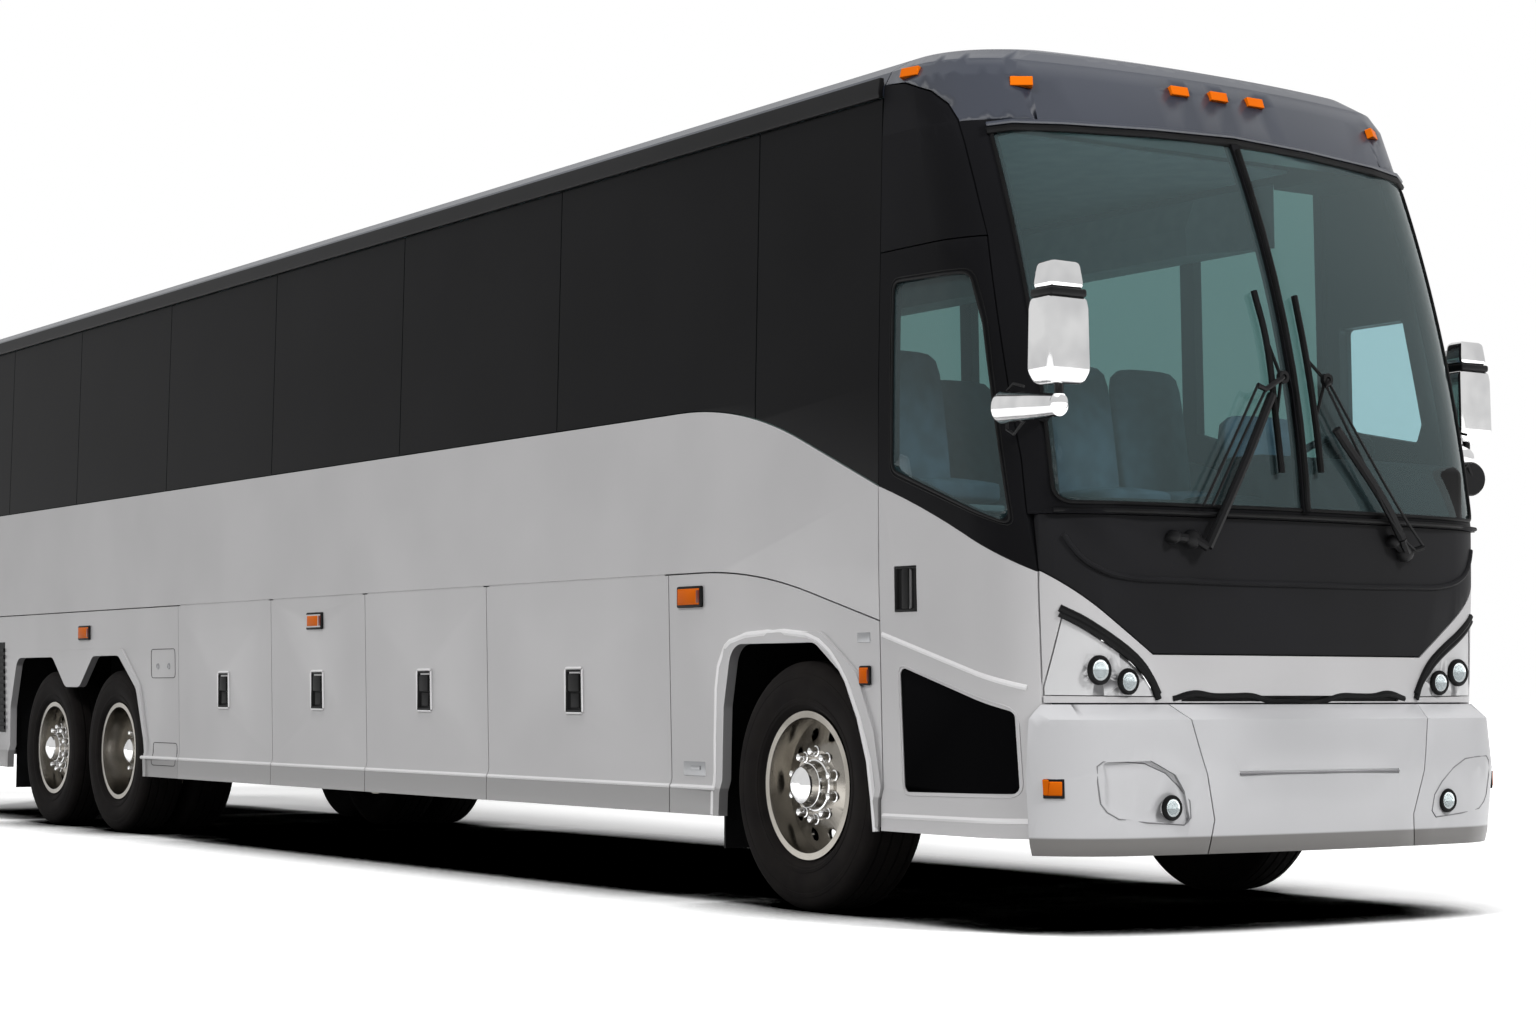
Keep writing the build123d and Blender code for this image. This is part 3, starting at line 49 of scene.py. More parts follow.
# ---- places that the pieces share
STEER = 4.980                    # steered axle; what is placed "ahead" counts from it
NOSE = 6.780
CAB_SEAM = 5.584                 # seam behind the entrance door
HALF_WIDTH = 1.295
TYRE_RADIUS = AXLE_Z = 0.525
AXLES = {"front": (STEER, 1.113), "drive": (-3.020, 1.100), "tag": (-4.240, 1.100)}    # x, side of the tyres
TWIN_INNER = 0.750               # side of the drive axle's inner tyres
DECK_Z, COCKPIT_Z = 1.400, 1.080
BAY_SEAMS = (-1.020, -2.770, -4.170, -5.420, -6.830)      # luggage door seams, ahead of the steered axle
LIP_Z = 0.368                    # the bumper is turned under below this
CREASE_Z = 0.495                 # the body sides are turned under below this
BELT_AT_SEAM, BELT_SLOPE, BELT_CURVE = 1.752, 0.3195, 0.1194     # the door's belt line, its fall and bend
RIGHT, LEFT = -1, 1
SIDES = (("right", RIGHT), ("left", LEFT))

# Camera: where it stands, its heading from +X, its tilt up and roll, and its lens on a 36 mm sensor
CAMERA_AT = (15.018, -8.085, 0.9215)
CAMERA_HEADING, CAMERA_TILT, CAMERA_ROLL = 146.462, 3.569, 0.093
CAMERA_LENS, CAMERA_SENSOR = 67.27, 36


# ---- colours and nodes
def linear(code):
    """sRGB hex colour as linear RGBA."""
    parts = [int(code[i:i + 2], 16) / 255 for i in (1, 3, 5)]
    return [v / 12.92 if v <= 0.04045 else ((v + 0.055) / 1.055) ** 2.4 for v in parts] + [1.0]


def add(tree, kind, *inputs, **settings):
    """Adds a shader node of a kind with its settings. Each input is (socket, what goes in): a number,
    a hex colour, a source socket, or a node, which stands for its first output."""
    node = tree.nodes.new("ShaderNode" + kind)
    for name, value in settings.items():
        setattr(node, name, value)
    for socket, value in inputs:
        source = value.outputs[0] if isinstance(value, bpy.types.Node) else value
        if isinstance(source, bpy.types.NodeSocket):
            tree.links.new(source, node.inputs[socket])
        else:
            node.inputs[socket].default_value = linear(value) if isinstance(value, str) else value
    return node


def new_material(name):
    """An empty node material, its tree and its Object coordinates."""
    material = bpy.data.materials.new(name)
    material.use_nodes = True
    tree = material.node_tree
    tree.nodes.clear()
    return material, tree, add(tree, "TexCoord").outputs["Object"]


def surfaced(material, shader, bump=None):
    """The material with its shader on the output; a bump is (height, strength, distance)."""
    tree = material.node_tree
    if bump:
        rough = add(tree, "Bump", *zip(("Height", "Strength", "Distance"), bump))
        tree.links.new(rough.outputs[0], shader.inputs["Normal"])
    add(tree, "OutputMaterial", ("Surface", shader))
    return material


# Real sizes of the patterns, in millimetres
PAINT_DRIFT, MOULD_DRIFT, GLASS_DRIFT, FLOOR_DRIFT = 714, 111, 1430, 1670      # slow drifts of tone
ORANGE_PEEL = 6.25
MOULD_GRAIN = 1.1
PEEL_DEEP, CAST_DEEP = 0.0004, 0.0005      # metres
WIDE_SPREAD = (0.3, 0.7)                   # where along a drift its two tones are pure


def drift(tree, place, tones, cell, spread=(0.35, 0.65)):
    """Colour that drifts between two hex tones over cells of a size in millimetres, and its noise."""
    noise = add(tree, "TexNoise", ("Vector", place), ("Scale", 1000 / cell), ("Detail", 2.0))
    ramp = add(tree, "ValToRGB", ("Fac", noise))
    for element, position, tone in zip(ramp.color_ramp.elements, spread, tones):
        element.position, element.color = position, linear(tone)
    return ramp, noise


def paint(name, tones, roughness, metallic=0.0, coat=0.0, coat_rough=0.05, gloss=0.5):
    """Sprayed paint over primer: its tone drifts over metres, and orange peel softens its reflections."""
    material, tree, place = new_material(name)
    colour, _ = drift(tree, place, tones, PAINT_DRIFT, WIDE_SPREAD)
    shader = add(tree, "BsdfPrincipled", ("Base Color", colour), ("Roughness", roughness),
                 ("Metallic", metallic), ("Coat Weight", coat), ("Coat Roughness", coat_rough),
                 ("Specular IOR Level", gloss))
    peel = add(tree, "TexNoise", ("Vector", place), ("Scale", 1000 / ORANGE_PEEL), ("Detail", 2.0))
    return surfaced(material, shader, (peel, 0.03, PEEL_DEEP))


def moulded(name, tones, roughness, grain=MOULD_GRAIN, strength=0.25, gloss=0.3):
    """Moulded plastic, rubber or cloth with a grain, in millimetres, that breaks up its sheen."""
    material, tree, place = new_material(name)
    colour, _ = drift(tree, place, tones, MOULD_DRIFT)
    shader = add(tree, "BsdfPrincipled", ("Base Color", colour), ("Roughness", roughness),
                 ("Specular IOR Level", gloss))
    grit = add(tree, "TexNoise", ("Vector", place), ("Scale", 1000 / grain), ("Detail", 3.0))
    return surfaced(material, shader, (grit, strength, PEEL_DEEP))


def metal(name, tones, roughness, cloud=167, grain=0.0):
    """Bare metal: clouds left by polishing in its sheen, and a cast grain where it has one, both in mm."""
    material, tree, place = new_material(name)
    colour, noise = drift(tree, place, tones, cloud)
    rough = add(tree, "MapRange", ("Value", noise), ("To Min", roughness * 0.8),
                ("To Max", roughness * 1.3))
    shader = add(tree, "BsdfPrincipled", ("Base Color", colour), ("Roughness", rough), ("Metallic", 1.0))
    if not grain:
        return surfaced(material, shader)
    pits = add(tree, "TexNoise", ("Vector", place), ("Scale", 1000 / grain), ("Detail", 3.0))
    return surfaced(material, shader, (pits, 0.3, CAST_DEEP))


def tinted_glass(name, tones, tint, share, gloss=0.04, solid_below=0.0):
    """Laminated glass: a share of its own colour, the rest clear with a tint, and gloss on its outer face.
    Below a height it is painted black inside."""
    material, tree, place = new_material(name)
    colour, _ = drift(tree, place, tones, GLASS_DRIFT, WIDE_SPREAD)
    own = add(tree, "BsdfDiffuse", ("Color", colour))
    clear = add(tree, "BsdfTransparent", ("Color", tint))
    body = add(tree, "MixShader", ("Fac", share), (1, clear), (2, own))
    face = add(tree, "BsdfGlossy", ("Color", "#f3f9f9"), ("Roughness", gloss))
    edge = add(tree, "Fresnel", ("IOR", 1.3))
    back = add(tree, "NewGeometry").outputs["Backfacing"]
    front = add(tree, "Math", (0, 1.0), (1, back), operation="SUBTRACT")
    shine = add(tree, "Math", (0, edge), (1, front), operation="MULTIPLY")
    if solid_below:
        height = add(tree, "SeparateXYZ", ("Vector", place)).outputs["Z"]
        high = add(tree, "Math", (0, height), (1, solid_below), operation="GREATER_THAN")
        black = add(tree, "BsdfDiffuse", ("Color", "#0c0c0d"))
        body = add(tree, "MixShader", ("Fac", high), (1, black), (2, body))
        shine = add(tree, "Math", (0, shine), (1, high), operation="MULTIPLY")
    return surfaced(material, add(tree, "MixShader", ("Fac", shine), (1, body), (2, face)))


def film_glass(name, tones, tint):
    """Privacy glass: satin black from outside, and a dim tint of daylight from inside."""
    material, tree, place = new_material(name)
    colour, _ = drift(tree, place, tones, PAINT_DRIFT, WIDE_SPREAD)
    outside = add(tree, "BsdfPrincipled", ("Base Color", colour), ("Roughness", 0.4),
                  ("Specular IOR Level", 0.03))
    inside = add(tree, "BsdfTransparent", ("Color", tint))
    normal = add(tree, "NewGeometry").outputs["Normal"]
    facing, side = (add(tree, "SeparateXYZ", ("Vector", v)).outputs["Y"] for v in (normal, place))
    outward = add(tree, "Math", (0, facing), (1, side), operation="MULTIPLY")
    seen = add(tree, "Math", (0, outward), (1, 0.0), operation="GREATER_THAN")
    return surfaced(material, add(tree, "MixShader", ("Fac", seen), (1, inside), (2, outside)))


def two_tone_paint(name):
    """Entrance door: satin black above the belt line that falls towards the nose, silver below it."""
    material, tree, place = new_material(name)
    silver, _ = drift(tree, place, SILVER_TONES, PAINT_DRIFT, WIDE_SPREAD)
    black, _ = drift(tree, place, BLACK_TONES, PAINT_DRIFT, WIDE_SPREAD)
    axes = add(tree, "SeparateXYZ", ("Vector", place))
    fall = along = add(tree, "Math", (0, axes.outputs["X"]), (1, CAB_SEAM), operation="SUBTRACT")
    for operation, value in (("MULTIPLY", BELT_CURVE), ("ADD", BELT_SLOPE), ("MULTIPLY", along)):
        fall = add(tree, "Math", (0, fall), (1, value), operation=operation)
    line = add(tree, "Math", (0, BELT_AT_SEAM), (1, fall), operation="SUBTRACT")
    above = add(tree, "Math", (0, axes.outputs["Z"]), (1, line), operation="GREATER_THAN")
    colour = add(tree, "Mix", ("Factor", above), (6, silver), (7, black), data_type="RGBA")
    gloss = add(tree, "MapRange", ("Value", above), ("To Min", 0.5), ("To Max", 0.03))
    flake = add(tree, "MapRange", ("Value", above), ("To Min", 0.25), ("To Max", 0.0))
    shader = add(tree, "BsdfPrincipled", ("Base Color", colour.outputs[2]), ("Roughness", 0.45),
                 ("Specular IOR Level", gloss), ("Metallic", flake))
    return surfaced(material, shader)


def shade_banded_paint(name, tones, height, lower, metallic, coat):
    """Silver paint above a height, and below it a darker grey: painted shade on the turned-under part."""
    material, tree, place = new_material(name)
    silver, _ = drift(tree, place, tones, PAINT_DRIFT, WIDE_SPREAD)
    up = add(tree, "SeparateXYZ", ("Vector", place)).outputs["Z"]
    # Below the height the colour turns to the darker tone: painted shade
    low = add(tree, "MapRange", ("Value", up), ("From Min", height + 0.004), ("From Max", height - 0.004))
    colour = add(tree, "Mix", ("Factor", low), (6, silver), (7, lower), data_type="RGBA")
    shader = add(tree, "BsdfPrincipled", ("Base Color", colour.outputs[2]), ("Roughness", 0.4),
                 ("Metallic", metallic), ("Coat Weight", coat))
    return surfaced(material, shader)


SILVER_TONES, BLACK_TONES = ("#a9a8a9", "#b0afb0"), ("#0f0f10", "#131315")
GLASS_TONES, GLASS_TINT = ("#8aa0a3", "#93a9ab"), "#e2f0f2"

# Metallic body paint: silver-grey with a soft sheen; the turned-under sides below the crease get a darker
# grey as painted shade
SILVER = paint("satin_silver_paint", SILVER_TONES, 0.42, metallic=0.25, coat=0.1)
BODY = shade_banded_paint("silver_body_paint_painted_shade", SILVER_TONES, CREASE_Z, "#8a8989", 0.25, 0.1)
# A paler copy of the same paint on raised beads, ridges, creases and arch lips: a painted highlight
HIGHLIGHT_SILVER = paint("silver_paint_painted_highlight", ("#cfcecf", "#d6d5d6"), 0.4, metallic=0.25, coat=0.1)
# Painted urethane bumper: a paler, plainer silver, with a grey band of painted shade where it turns under
BUMPER = shade_banded_paint("silver_bumper_paint_with_painted_shade", ("#adadaf", "#b5b5b7"), LIP_Z, "#5d5b59", 0.15, 0.1)
# Painted shade along the edges of the bumper's pockets and its plate recess: matt mid grey
SHADE_GREY = paint("painted_shade_grey", ("#6c6c6e", "#747476"), 0.5)
# Dark blue-grey enamel of the roof, with a wide soft highlight
CHARCOAL = paint("charcoal_gloss_enamel", ("#22262f", "#292d37"), 0.42, coat=0.45, coat_rough=0.25)
# Black panels round the glass: nearly no reflections
BLACK = paint("satin_black_panel", BLACK_TONES, 0.5, gloss=0.04)
# Entrance door: the panels' black above its belt line, and the body's silver below
TWO_TONE = two_tone_paint("two_tone_door_paint")
# Black moulding under the windscreen: a shade paler than the panels
FASCIA = paint("black_grained_fascia", ("#1a1a1b", "#1f1f21"), 0.55, gloss=0.06)
# Chassis enamels: black with a low sheen
SATIN = paint("black_chassis_enamel", ("#0b0b0c", "#111112"), 0.5, gloss=0.15)
STEEL = paint("chassis_steel_paint", ("#121213", "#1a1a1b"), 0.6, gloss=0.3)
# Injection moulded black plastic: matt, with a fine grain
PLASTIC = moulded("black_moulded_plastic", ("#090909", "#0f0f10"), 0.55, gloss=0.12)
# Grained grey cabin plastic, pale textured headlining and ribbed floor covering: flat and dull
TRIM = moulded("grained_trim_plastic", ("#666b6d", "#727779"), 0.7)
LINING = moulded("pale_headlining", ("#b0b4b6", "#bcc0c2"), 0.8)
FLOOR = moulded("ribbed_floor_covering", ("#4a4a4c", "#555558"), 0.8)
# Woven wool cloth: blue-grey, with its 2 mm threads in its shading
FABRIC = moulded("woven_seat_cloth", ("#454c55", "#545d68"), 0.95, 2.0, 0.5, 0.1)
# Vulcanised rubber: warm black, dull and slightly rough
RUBBER = moulded("tyre_rubber", ("#110f0f", "#171514"), 0.85, 4.0, 0.3, 0.1)
# Forged wheels: polished, slightly clouded and darker than chrome
ALLOY = metal("polished_alloy", ("#827e77", "#99958e"), 0.22)
# Chrome plate: bright and sharp; silvered mirror glass is sharper still
CHROME = metal("chrome_plate", ("#dcdcdd", "#f2f2f2"), 0.08)
MIRROR_GLASS = metal("silvered_mirror_glass", ("#c8ccce", "#d4d8da"), 0.03)
# Sand-cast iron: brown-grey, with a coarse skin
IRON = metal("cast_iron", ("#4a4846", "#5c5a56"), 0.6, 50, 16.7)
# Brushed strip on catches and plates: pale, with a broad sheen
BRUSHED = paint("brushed_edge_trim", ("#8f9092", "#a4a5a7"), 0.35, metallic=0.7)
# Acrylic lenses, unlit: amber, red, and the red-brown reflector beside the amber one
AMBER = paint("amber_lens", ("#c0560a", "#d0660c"), 0.4, gloss=0.05)
RED = paint("red_lens", ("#8e0d10", "#a5161a"), 0.2, coat=0.5)
REFLEX = paint("dark_reflex_plastic", ("#5a1d0c", "#6a2410"), 0.3, coat=0.15, gloss=0.2)
# Aluminised lamp housing under a clear cover: pale grey and smooth
LENS = paint("lamp_housing_silver", ("#aeaeaf", "#b6b6b7"), 0.35, metallic=0.25, coat=0.3)
LENS_GLASS = tinted_glass("clear_lens_glass", ("#c8ccd0", "#d8dcde"), "#f0f4f4", 0.25, 0.02)
# Film-coated privacy glazing: so dark that from outside only its own satin black shows
PRIVACY = film_glass("privacy_glass", ("#131314", "#161617"), "#9fb2ae")
# Laminated glass: clear with a blue-green tint; the door's lower pane is painted black inside
CLEAR = tinted_glass("green_tinted_glass", GLASS_TONES, GLASS_TINT, 0.06)
DOOR_GLASS = tinted_glass("green_tinted_door_glass", GLASS_TONES, GLASS_TINT, 0.06, solid_below=1.1)

LOOKS = {
    "silver_paint": SILVER, "bumper_paint": BUMPER, "charcoal_paint": CHARCOAL, "black_gloss": BLACK,
    "black_satin": SATIN, "black_plastic": PLASTIC, "dark_glass": PRIVACY, "clear_glass": CLEAR,
    "amber_lens": AMBER, "red_lens": RED, "lamp_lens": LENS, "frame_steel": STEEL, "floor_grey": FLOOR,
    "engine_iron": IRON, "chrome": CHROME, "seat_fabric": FABRIC, "trim_plastic": TRIM, "tyre": RUBBER,
    "polished_alloy": ALLOY,
}
LOOK_OF = {node: LOOKS[slot] for node, slot in SLOT_OF.items()}
LOOK_OF.update({node: BODY for node in NODES if node.startswith("luggage_door_")})
LOOK_OF.update(front_fascia=FASCIA, entrance_door=TWO_TONE, door_glass=DOOR_GLASS, quarter_panels=BODY)
for node, look in LOOK_OF.items():
    NODES[node].data.materials.clear()
    NODES[node].data.materials.append(look)


# ---- making pieces
def only(*pieces):
    """Selects these pieces alone and makes the first one active."""
    bpy.ops.object.select_all(action="DESELECT")
    for piece in pieces:
        piece.select_set(True)
    bpy.context.view_layer.objects.active = pieces[0]
    return pieces[0]


def open_mesh(piece, action="SELECT"):
    """Takes the piece into edit mode with all of its mesh selected, or none."""
    only(piece)
    bpy.ops.object.mode_set(mode="EDIT")
    bpy.ops.mesh.select_all(action=action)


def close_mesh():
    bpy.ops.object.mode_set(mode="OBJECT")


def settle(piece):
    """Puts the piece's place, turn and size into its mesh."""
    only(piece)
    bpy.ops.object.transform_apply(location=True, rotation=True, scale=True)
    return piece


def modified(piece, kind, **settings):
    """Adds one modifier with its settings and applies it."""
    only(piece)
    step = piece.modifiers.new("step", kind)
    for name, value in settings.items():
        setattr(step, name, value)
    bpy.ops.object.modifier_apply(modifier="step")
    return piece


def bevelled(piece, width, segments=2, angle=30):
    return modified(piece, "BEVEL", width=width, segments=segments, limit_method="ANGLE",
                    angle_limit=math.radians(angle))


def about(middle, half):
    """Range to both sides of a middle."""
    return middle - half, middle + half


def joined(pieces):
    piece = only(*pieces)
    if len(pieces) > 1:
        bpy.ops.object.join()
    return piece


def finished(piece, name, slot, body="body", look=None, angle=35, instead=()):
    """Names the piece, gives it a look (the slot's own if none is given) and its body, and smooths it."""
    piece.name = piece.data.name = name
    piece.data.materials.clear()
    piece.data.materials.append(look or LOOKS[slot])
    only(piece)
    bpy.ops.object.shade_smooth_by_angle(angle=math.radians(angle))
    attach(piece, body)
    if instead:
        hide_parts(*instead)
    return piece


def rounded_block(low, high, edge=0.0, segments=3):
    """Block between two corners, with its edges rounded."""
    middle = [(a + b) / 2 for a, b in zip(low, high)]
    bpy.ops.object.select_all(action="DESELECT")
    bpy.ops.mesh.primitive_cube_add(size=1, location=middle, scale=[b - a for a, b in zip(low, high)])
    piece = settle(bpy.context.active_object)
    return bevelled(piece, edge, segments) if edge else piece


def side_block(side, along, out, up, edge=0.0, segments=3):
    """Rounded block on one side of the bus, from ranges along it, out from its middle and up."""
    across = sorted(side * y for y in out)
    return rounded_block(*zip(along, across, up), edge, segments)


def tube(points, radius, closed=False, smooth=False):
    """Round bar or bead along points, straight between them or on a smooth curve."""
    data = bpy.data.curves.new("line", "CURVE")
    data.dimensions = "3D"
    if smooth:
        spline = data.splines.new("BEZIER")
        spline.bezier_points.add(len(points) - 1)
        for knot, point in zip(spline.bezier_points, points):
            knot.co = point
            knot.handle_left_type = knot.handle_right_type = "AUTO"
        spline.resolution_u = 6
    else:
        spline = data.splines.new("POLY")
        spline.points.add(len(points) - 1)
        for knot, point in zip(spline.points, points):
            knot.co = (*point, 1)
    spline.use_cyclic_u = closed
    data.bevel_depth, data.bevel_resolution, data.use_fill_caps = radius, 2, not closed
    line = bpy.data.objects.new("line", data)
    bpy.context.scene.collection.objects.link(line)
    only(line)
    bpy.ops.object.convert(target="MESH")
    return bpy.context.active_object


MERGE = 0.00001                  # points nearer to each other than this become one


def turned(outline, middle, toward, steps=48):
    """Closed outline of (radius, height) points turned about a line through middle, heights along toward."""
    bpy.ops.object.select_all(action="DESELECT")
    bpy.ops.mesh.primitive_circle_add(vertices=len(outline), radius=1)
    piece = bpy.context.active_object
    for vertex, (radius, height) in zip(piece.data.vertices, outline):
        vertex.co = (radius, 0, height)
    modified(piece, "SCREW", axis="Z", angle=math.tau, steps=steps, render_steps=steps,
             use_merge_vertices=True, merge_threshold=MERGE)
    open_mesh(piece)
    bpy.ops.mesh.remove_doubles(threshold=MERGE)
    bpy.ops.mesh.dissolve_degenerate(threshold=MERGE)
    bpy.ops.mesh.normals_make_consistent(inside=False)
    close_mesh()
    piece.rotation_euler = Vector(toward).to_track_quat("Z", "Y").to_euler()
    piece.location = middle
    return settle(piece)


def copied(piece, shift):
    """A moved copy with its own mesh."""
    only(piece)
    bpy.ops.object.duplicate()
    copy = bpy.context.active_object
    copy.location = shift
    return settle(copy)


# ---- finding places on the CAD nodes' faces
def shell_of(*names):
    """Ray-casting tree of CAD nodes."""
    points, faces = [], []
    for name in names:
        mesh, first = NODES[name].data, len(points)
        points += [NODES[name].matrix_world @ v.co for v in mesh.vertices]
        faces += [[first + i for i in f.vertices] for f in mesh.polygons]
    return BVHTree.FromPolygons(points, faces)


DOOR_SHELL = shell_of("entrance_door")
SIDE_SHELL = shell_of("quarter_panels")
NOSE_SHELL = shell_of("nose_panel", "front_lamps")
BUMPER_SHELL = shell_of("front_bumper", "front_lamps")
FRONT_SHELL = shell_of("front_fascia", "windscreen_frame", "nose_panel", "windscreen")


def on_side(shell, x, z, proud=0.0, side=RIGHT):
    """Point on the side of the bus at x and z, standing proud of it."""
    hit = shell.ray_cast(Vector((x, side * 3, z)), Vector((0, -side, 0)))[0]
    return (hit if hit is not None else Vector((x, side * HALF_WIDTH, z))) + Vector((0, side * proud, 0))


def on_front(shell, y, z, proud=0.0):
    """Point on the front at y and z, and the outward direction there."""
    hit, normal, _, _ = shell.ray_cast(Vector((NOSE + 1, y, z)), Vector((-1, 0, 0)))
    if hit is None:
        hit, normal, _, _ = shell.find_nearest(Vector((NOSE - 0.1, y, z)))
    if normal.x < 0:
        normal = -normal
    return hit + normal * proud, normal


def filled(points, step=0.05):
    """The line with more points between its own, so that it follows the surface under it."""
    line = []
    for a, b in zip(points, points[1:]):
        count = max(1, round(math.dist(a, b) / step))
        line += [tuple(Vector(a).lerp(Vector(b), k / count)) for k in range(count)]
    return line + [points[-1]]


def rounded_corners(corners, radius, steps=4):
    """The outline with each corner rounded by an arc of points."""
    points = []
    for i, corner in enumerate(corners):
        here, before, after = Vector(corner), Vector(corners[i - 1]), Vector(corners[(i + 1) % len(corners)])
        start = here + (before - here).normalized() * radius
        end = here + (after - here).normalized() * radius
        for t in (k / steps for k in range(steps + 1)):
            points.append(tuple(start.lerp(here, t).lerp(here.lerp(end, t), t)))
    return points


def grown(corners, amount):
    """Outline moved outwards from its middle by an amount at each corner."""
    middle = [sum(corner[i] for corner in corners) / len(corners) for i in (0, 1)]
    return [tuple(v + math.copysign(amount, v - mid) for v, mid in zip(corner, middle)) for corner in corners]


def frame_of(x, z, wide, high):
    """Corners of an upright rectangle from its middle, half length and half height."""
    return [(x - wide, z + high), (x + wide, z + high), (x + wide, z - high), (x - wide, z - high)]


def from_steer(points):
    """Points (ahead of the steered axle, height) as (x, height)."""
    return [(STEER + ahead, z) for ahead, z in points]


def side_bead(shell, corners, side, width, proud, closed=True, step=0.05):
    """Bead that follows the side of the bus along corner points (x, height)."""
    line = filled([*corners, corners[0]] if closed else list(corners), step)
    if closed:
        line.pop()
    return tube([on_side(shell, x, z, proud, side) for x, z in line], width / 2, closed)


def front_bead(shell, corners, width, proud, closed=False, smooth=True):
    """Bead that follows the front of the bus along corner points (side, height)."""
    return tube([on_front(shell, y, z, proud)[0] for y, z in corners], width / 2, closed, smooth)


# ---- body panels
# Node, width of its rounded edges in millimetres, and the angle up to which its faces are smoothed
PANELS = (("roof", 0, 32), ("front_cap", 0, 32), ("corner_panels", 3, 20), ("belt_panels", 3, 20),
          ("quarter_panels", 4, 20), ("window_frame", 2, 20), ("gutter_rails", 3, 20),
          ("windscreen_frame", 5, 20), ("front_fascia", 4, 20), ("nose_panel", 4, 20),
          ("front_bumper", 12, 32), ("rear_panel", 5, 20), ("engine_door", 4, 20),
          ("rear_bumper", 10, 32), ("entrance_door", 3, 20), ("side_glass", 2, 20),
          ("cab_frame", 0, 32), ("windscreen", 0, 32), ("driver_window", 0, 32), ("door_glass", 0, 32),
          ("front_lamps", 0, 32), ("tail_lamps", 4, 20), ("marker_lamps", 4, 20), ("grilles", 2, 20))
PANELS += tuple((f"luggage_door_{name}_{i}", 3, 20) for name, _ in SIDES for i in range(1, len(BAY_SEAMS)))
PANELS += tuple((f"wheel_{axle}_{name}", 2, 20) for axle in AXLES for name, _ in SIDES)


def dress_panel(node, edge, angle):
    """Welded copy of a CAD node with smooth faces and rounded edges."""
    only(NODES[node])
    bpy.ops.object.duplicate()
    piece = bpy.context.active_object
    for key in [k for k in piece.keys() if k.startswith("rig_")]:
        del piece[key]
    open_mesh(piece)
    bpy.ops.mesh.remove_doubles(threshold=0.00002)
    if edge:
        bpy.ops.mesh.dissolve_limited(angle_limit=math.radians(0.6))
    close_mesh()
    if edge:
        bevelled(piece, edge / 1000, 2, 40)
    finished(piece, node + "_skin", SLOT_OF[node], BODY_OF[node], LOOK_OF[node], angle, [node])


for panel in PANELS:
    dress_panel(*panel)


# ---- tyres
# Half of a tyre's outline from its bead to the tread: radius, distance from the tyre's middle
SIDEWALL = ((0.300, 0.106), (0.316, 0.107), (0.330, 0.122), (0.342, 0.134), (0.352, 0.137), (0.354, 0.1395),
            (0.366, 0.1405), (0.368, 0.1385), (0.392, 0.144), (0.415, 0.148), (0.440, 0.1475), (0.452, 0.145),
            (0.454, 0.1465), (0.470, 0.144), (0.472, 0.142), (0.491, 0.139), (0.505, 0.132), (0.516, 0.121),
            (0.523, 0.110))
GROOVES = (0.082, 0.028)         # sides of the grooves round the tread
GROOVE_HALF, GROOVE_DEEP = 0.0055, 0.012


def tyre_outline():
    half, floor = list(SIDEWALL), TYRE_RADIUS - GROOVE_DEEP
    for side in GROOVES:
        half += [(TYRE_RADIUS, side + GROOVE_HALF), (floor, side + GROOVE_HALF * 0.6),
                 (floor, side - GROOVE_HALF * 0.6), (TYRE_RADIUS, side - GROOVE_HALF)]
    return half + [(radius, -side) for radius, side in reversed(half)]


def build_tyres():
    """Road tyres with a ribbed tread and ringed sidewalls, on each wheel's body."""
    first = turned(tyre_outline(), (0, 0, 0), (0, -1, 0), 72)
    for axle, (x, y) in AXLES.items():
        for name, side in SIDES:
            rows = [y, TWIN_INNER] if axle == "drive" else [y]
            tyres = joined([copied(first, (x, side * row, AXLE_Z)) for row in rows])
            finished(tyres, f"road_tyre_{axle}_{name}", "tyre", f"{axle}_wheel_{name}", angle=28,
                     instead=[f"tyre_{axle}_{name}"])
    bpy.data.objects.remove(first)


build_tyres()


# ---- wheel nuts and hub caps
NUT_CIRCLE, NUTS = 0.143, 10
DISC_FACE = {"front": 0.070, "drive": -0.020, "tag": 0.070}      # wheel face outwards of the tyre's middle
CAP_LONG = {"front": 0.105, "drive": 0.090, "tag": 0.095}
NUT_COVER = ((0.0, 0.0), (0.024, 0.0), (0.024, 0.004), (0.019, 0.006), (0.018, 0.030), (0.014, 0.039),
             (0.007, 0.043), (0.0, 0.044))


def hub_cap(long):
    """Stepped outline of a hub cap of a given length."""
    return ((0.0, 0.0), (0.110, 0.0), (0.110, 0.010), (0.099, 0.014), (0.094, long * 0.45),
            (0.084, long * 0.52), (0.076, long * 0.8), (0.068, long * 0.87), (0.042, long + 0.001),
            (0.030, long + 0.003), (0.0, long + 0.003))


def build_wheel_nuts():
    """Chromed nut covers with washers, and a stepped hub cap on every wheel."""
    for axle, (x, y) in AXLES.items():
        for name, side in SIDES:
            face, out = side * (y + DISC_FACE[axle]), (0, side, 0)
            parts = []
            for angle in (math.tau * i / NUTS for i in range(NUTS)):
                middle = (x + NUT_CIRCLE * math.sin(angle), face, AXLE_Z + NUT_CIRCLE * math.cos(angle))
                parts.append(turned(NUT_COVER, middle, out, 16))
            parts.append(turned(hub_cap(CAP_LONG[axle]), (x, face, AXLE_Z), out, 40))
            finished(joined(parts), f"nut_covers_{axle}_{name}", "chrome", f"{axle}_wheel_{name}", angle=30)


build_wheel_nuts()


# ---- luggage doors
def tray(piece, lip, deep, side):
    """Moulded pocket: the block's outward face is let in inside a lip."""
    open_mesh(piece, "DESELECT")
    bpy.ops.mesh.select_mode(type="FACE")
    close_mesh()
    for face in piece.data.polygons:
        face.select = face.normal.y * side > 0.9
    bpy.ops.object.mode_set(mode="EDIT")
    bpy.ops.mesh.inset(thickness=lip, depth=0)
    bpy.ops.mesh.inset(thickness=0.003, depth=-deep)
    close_mesh()
    return bevelled(piece, 0.004, 2, 40)


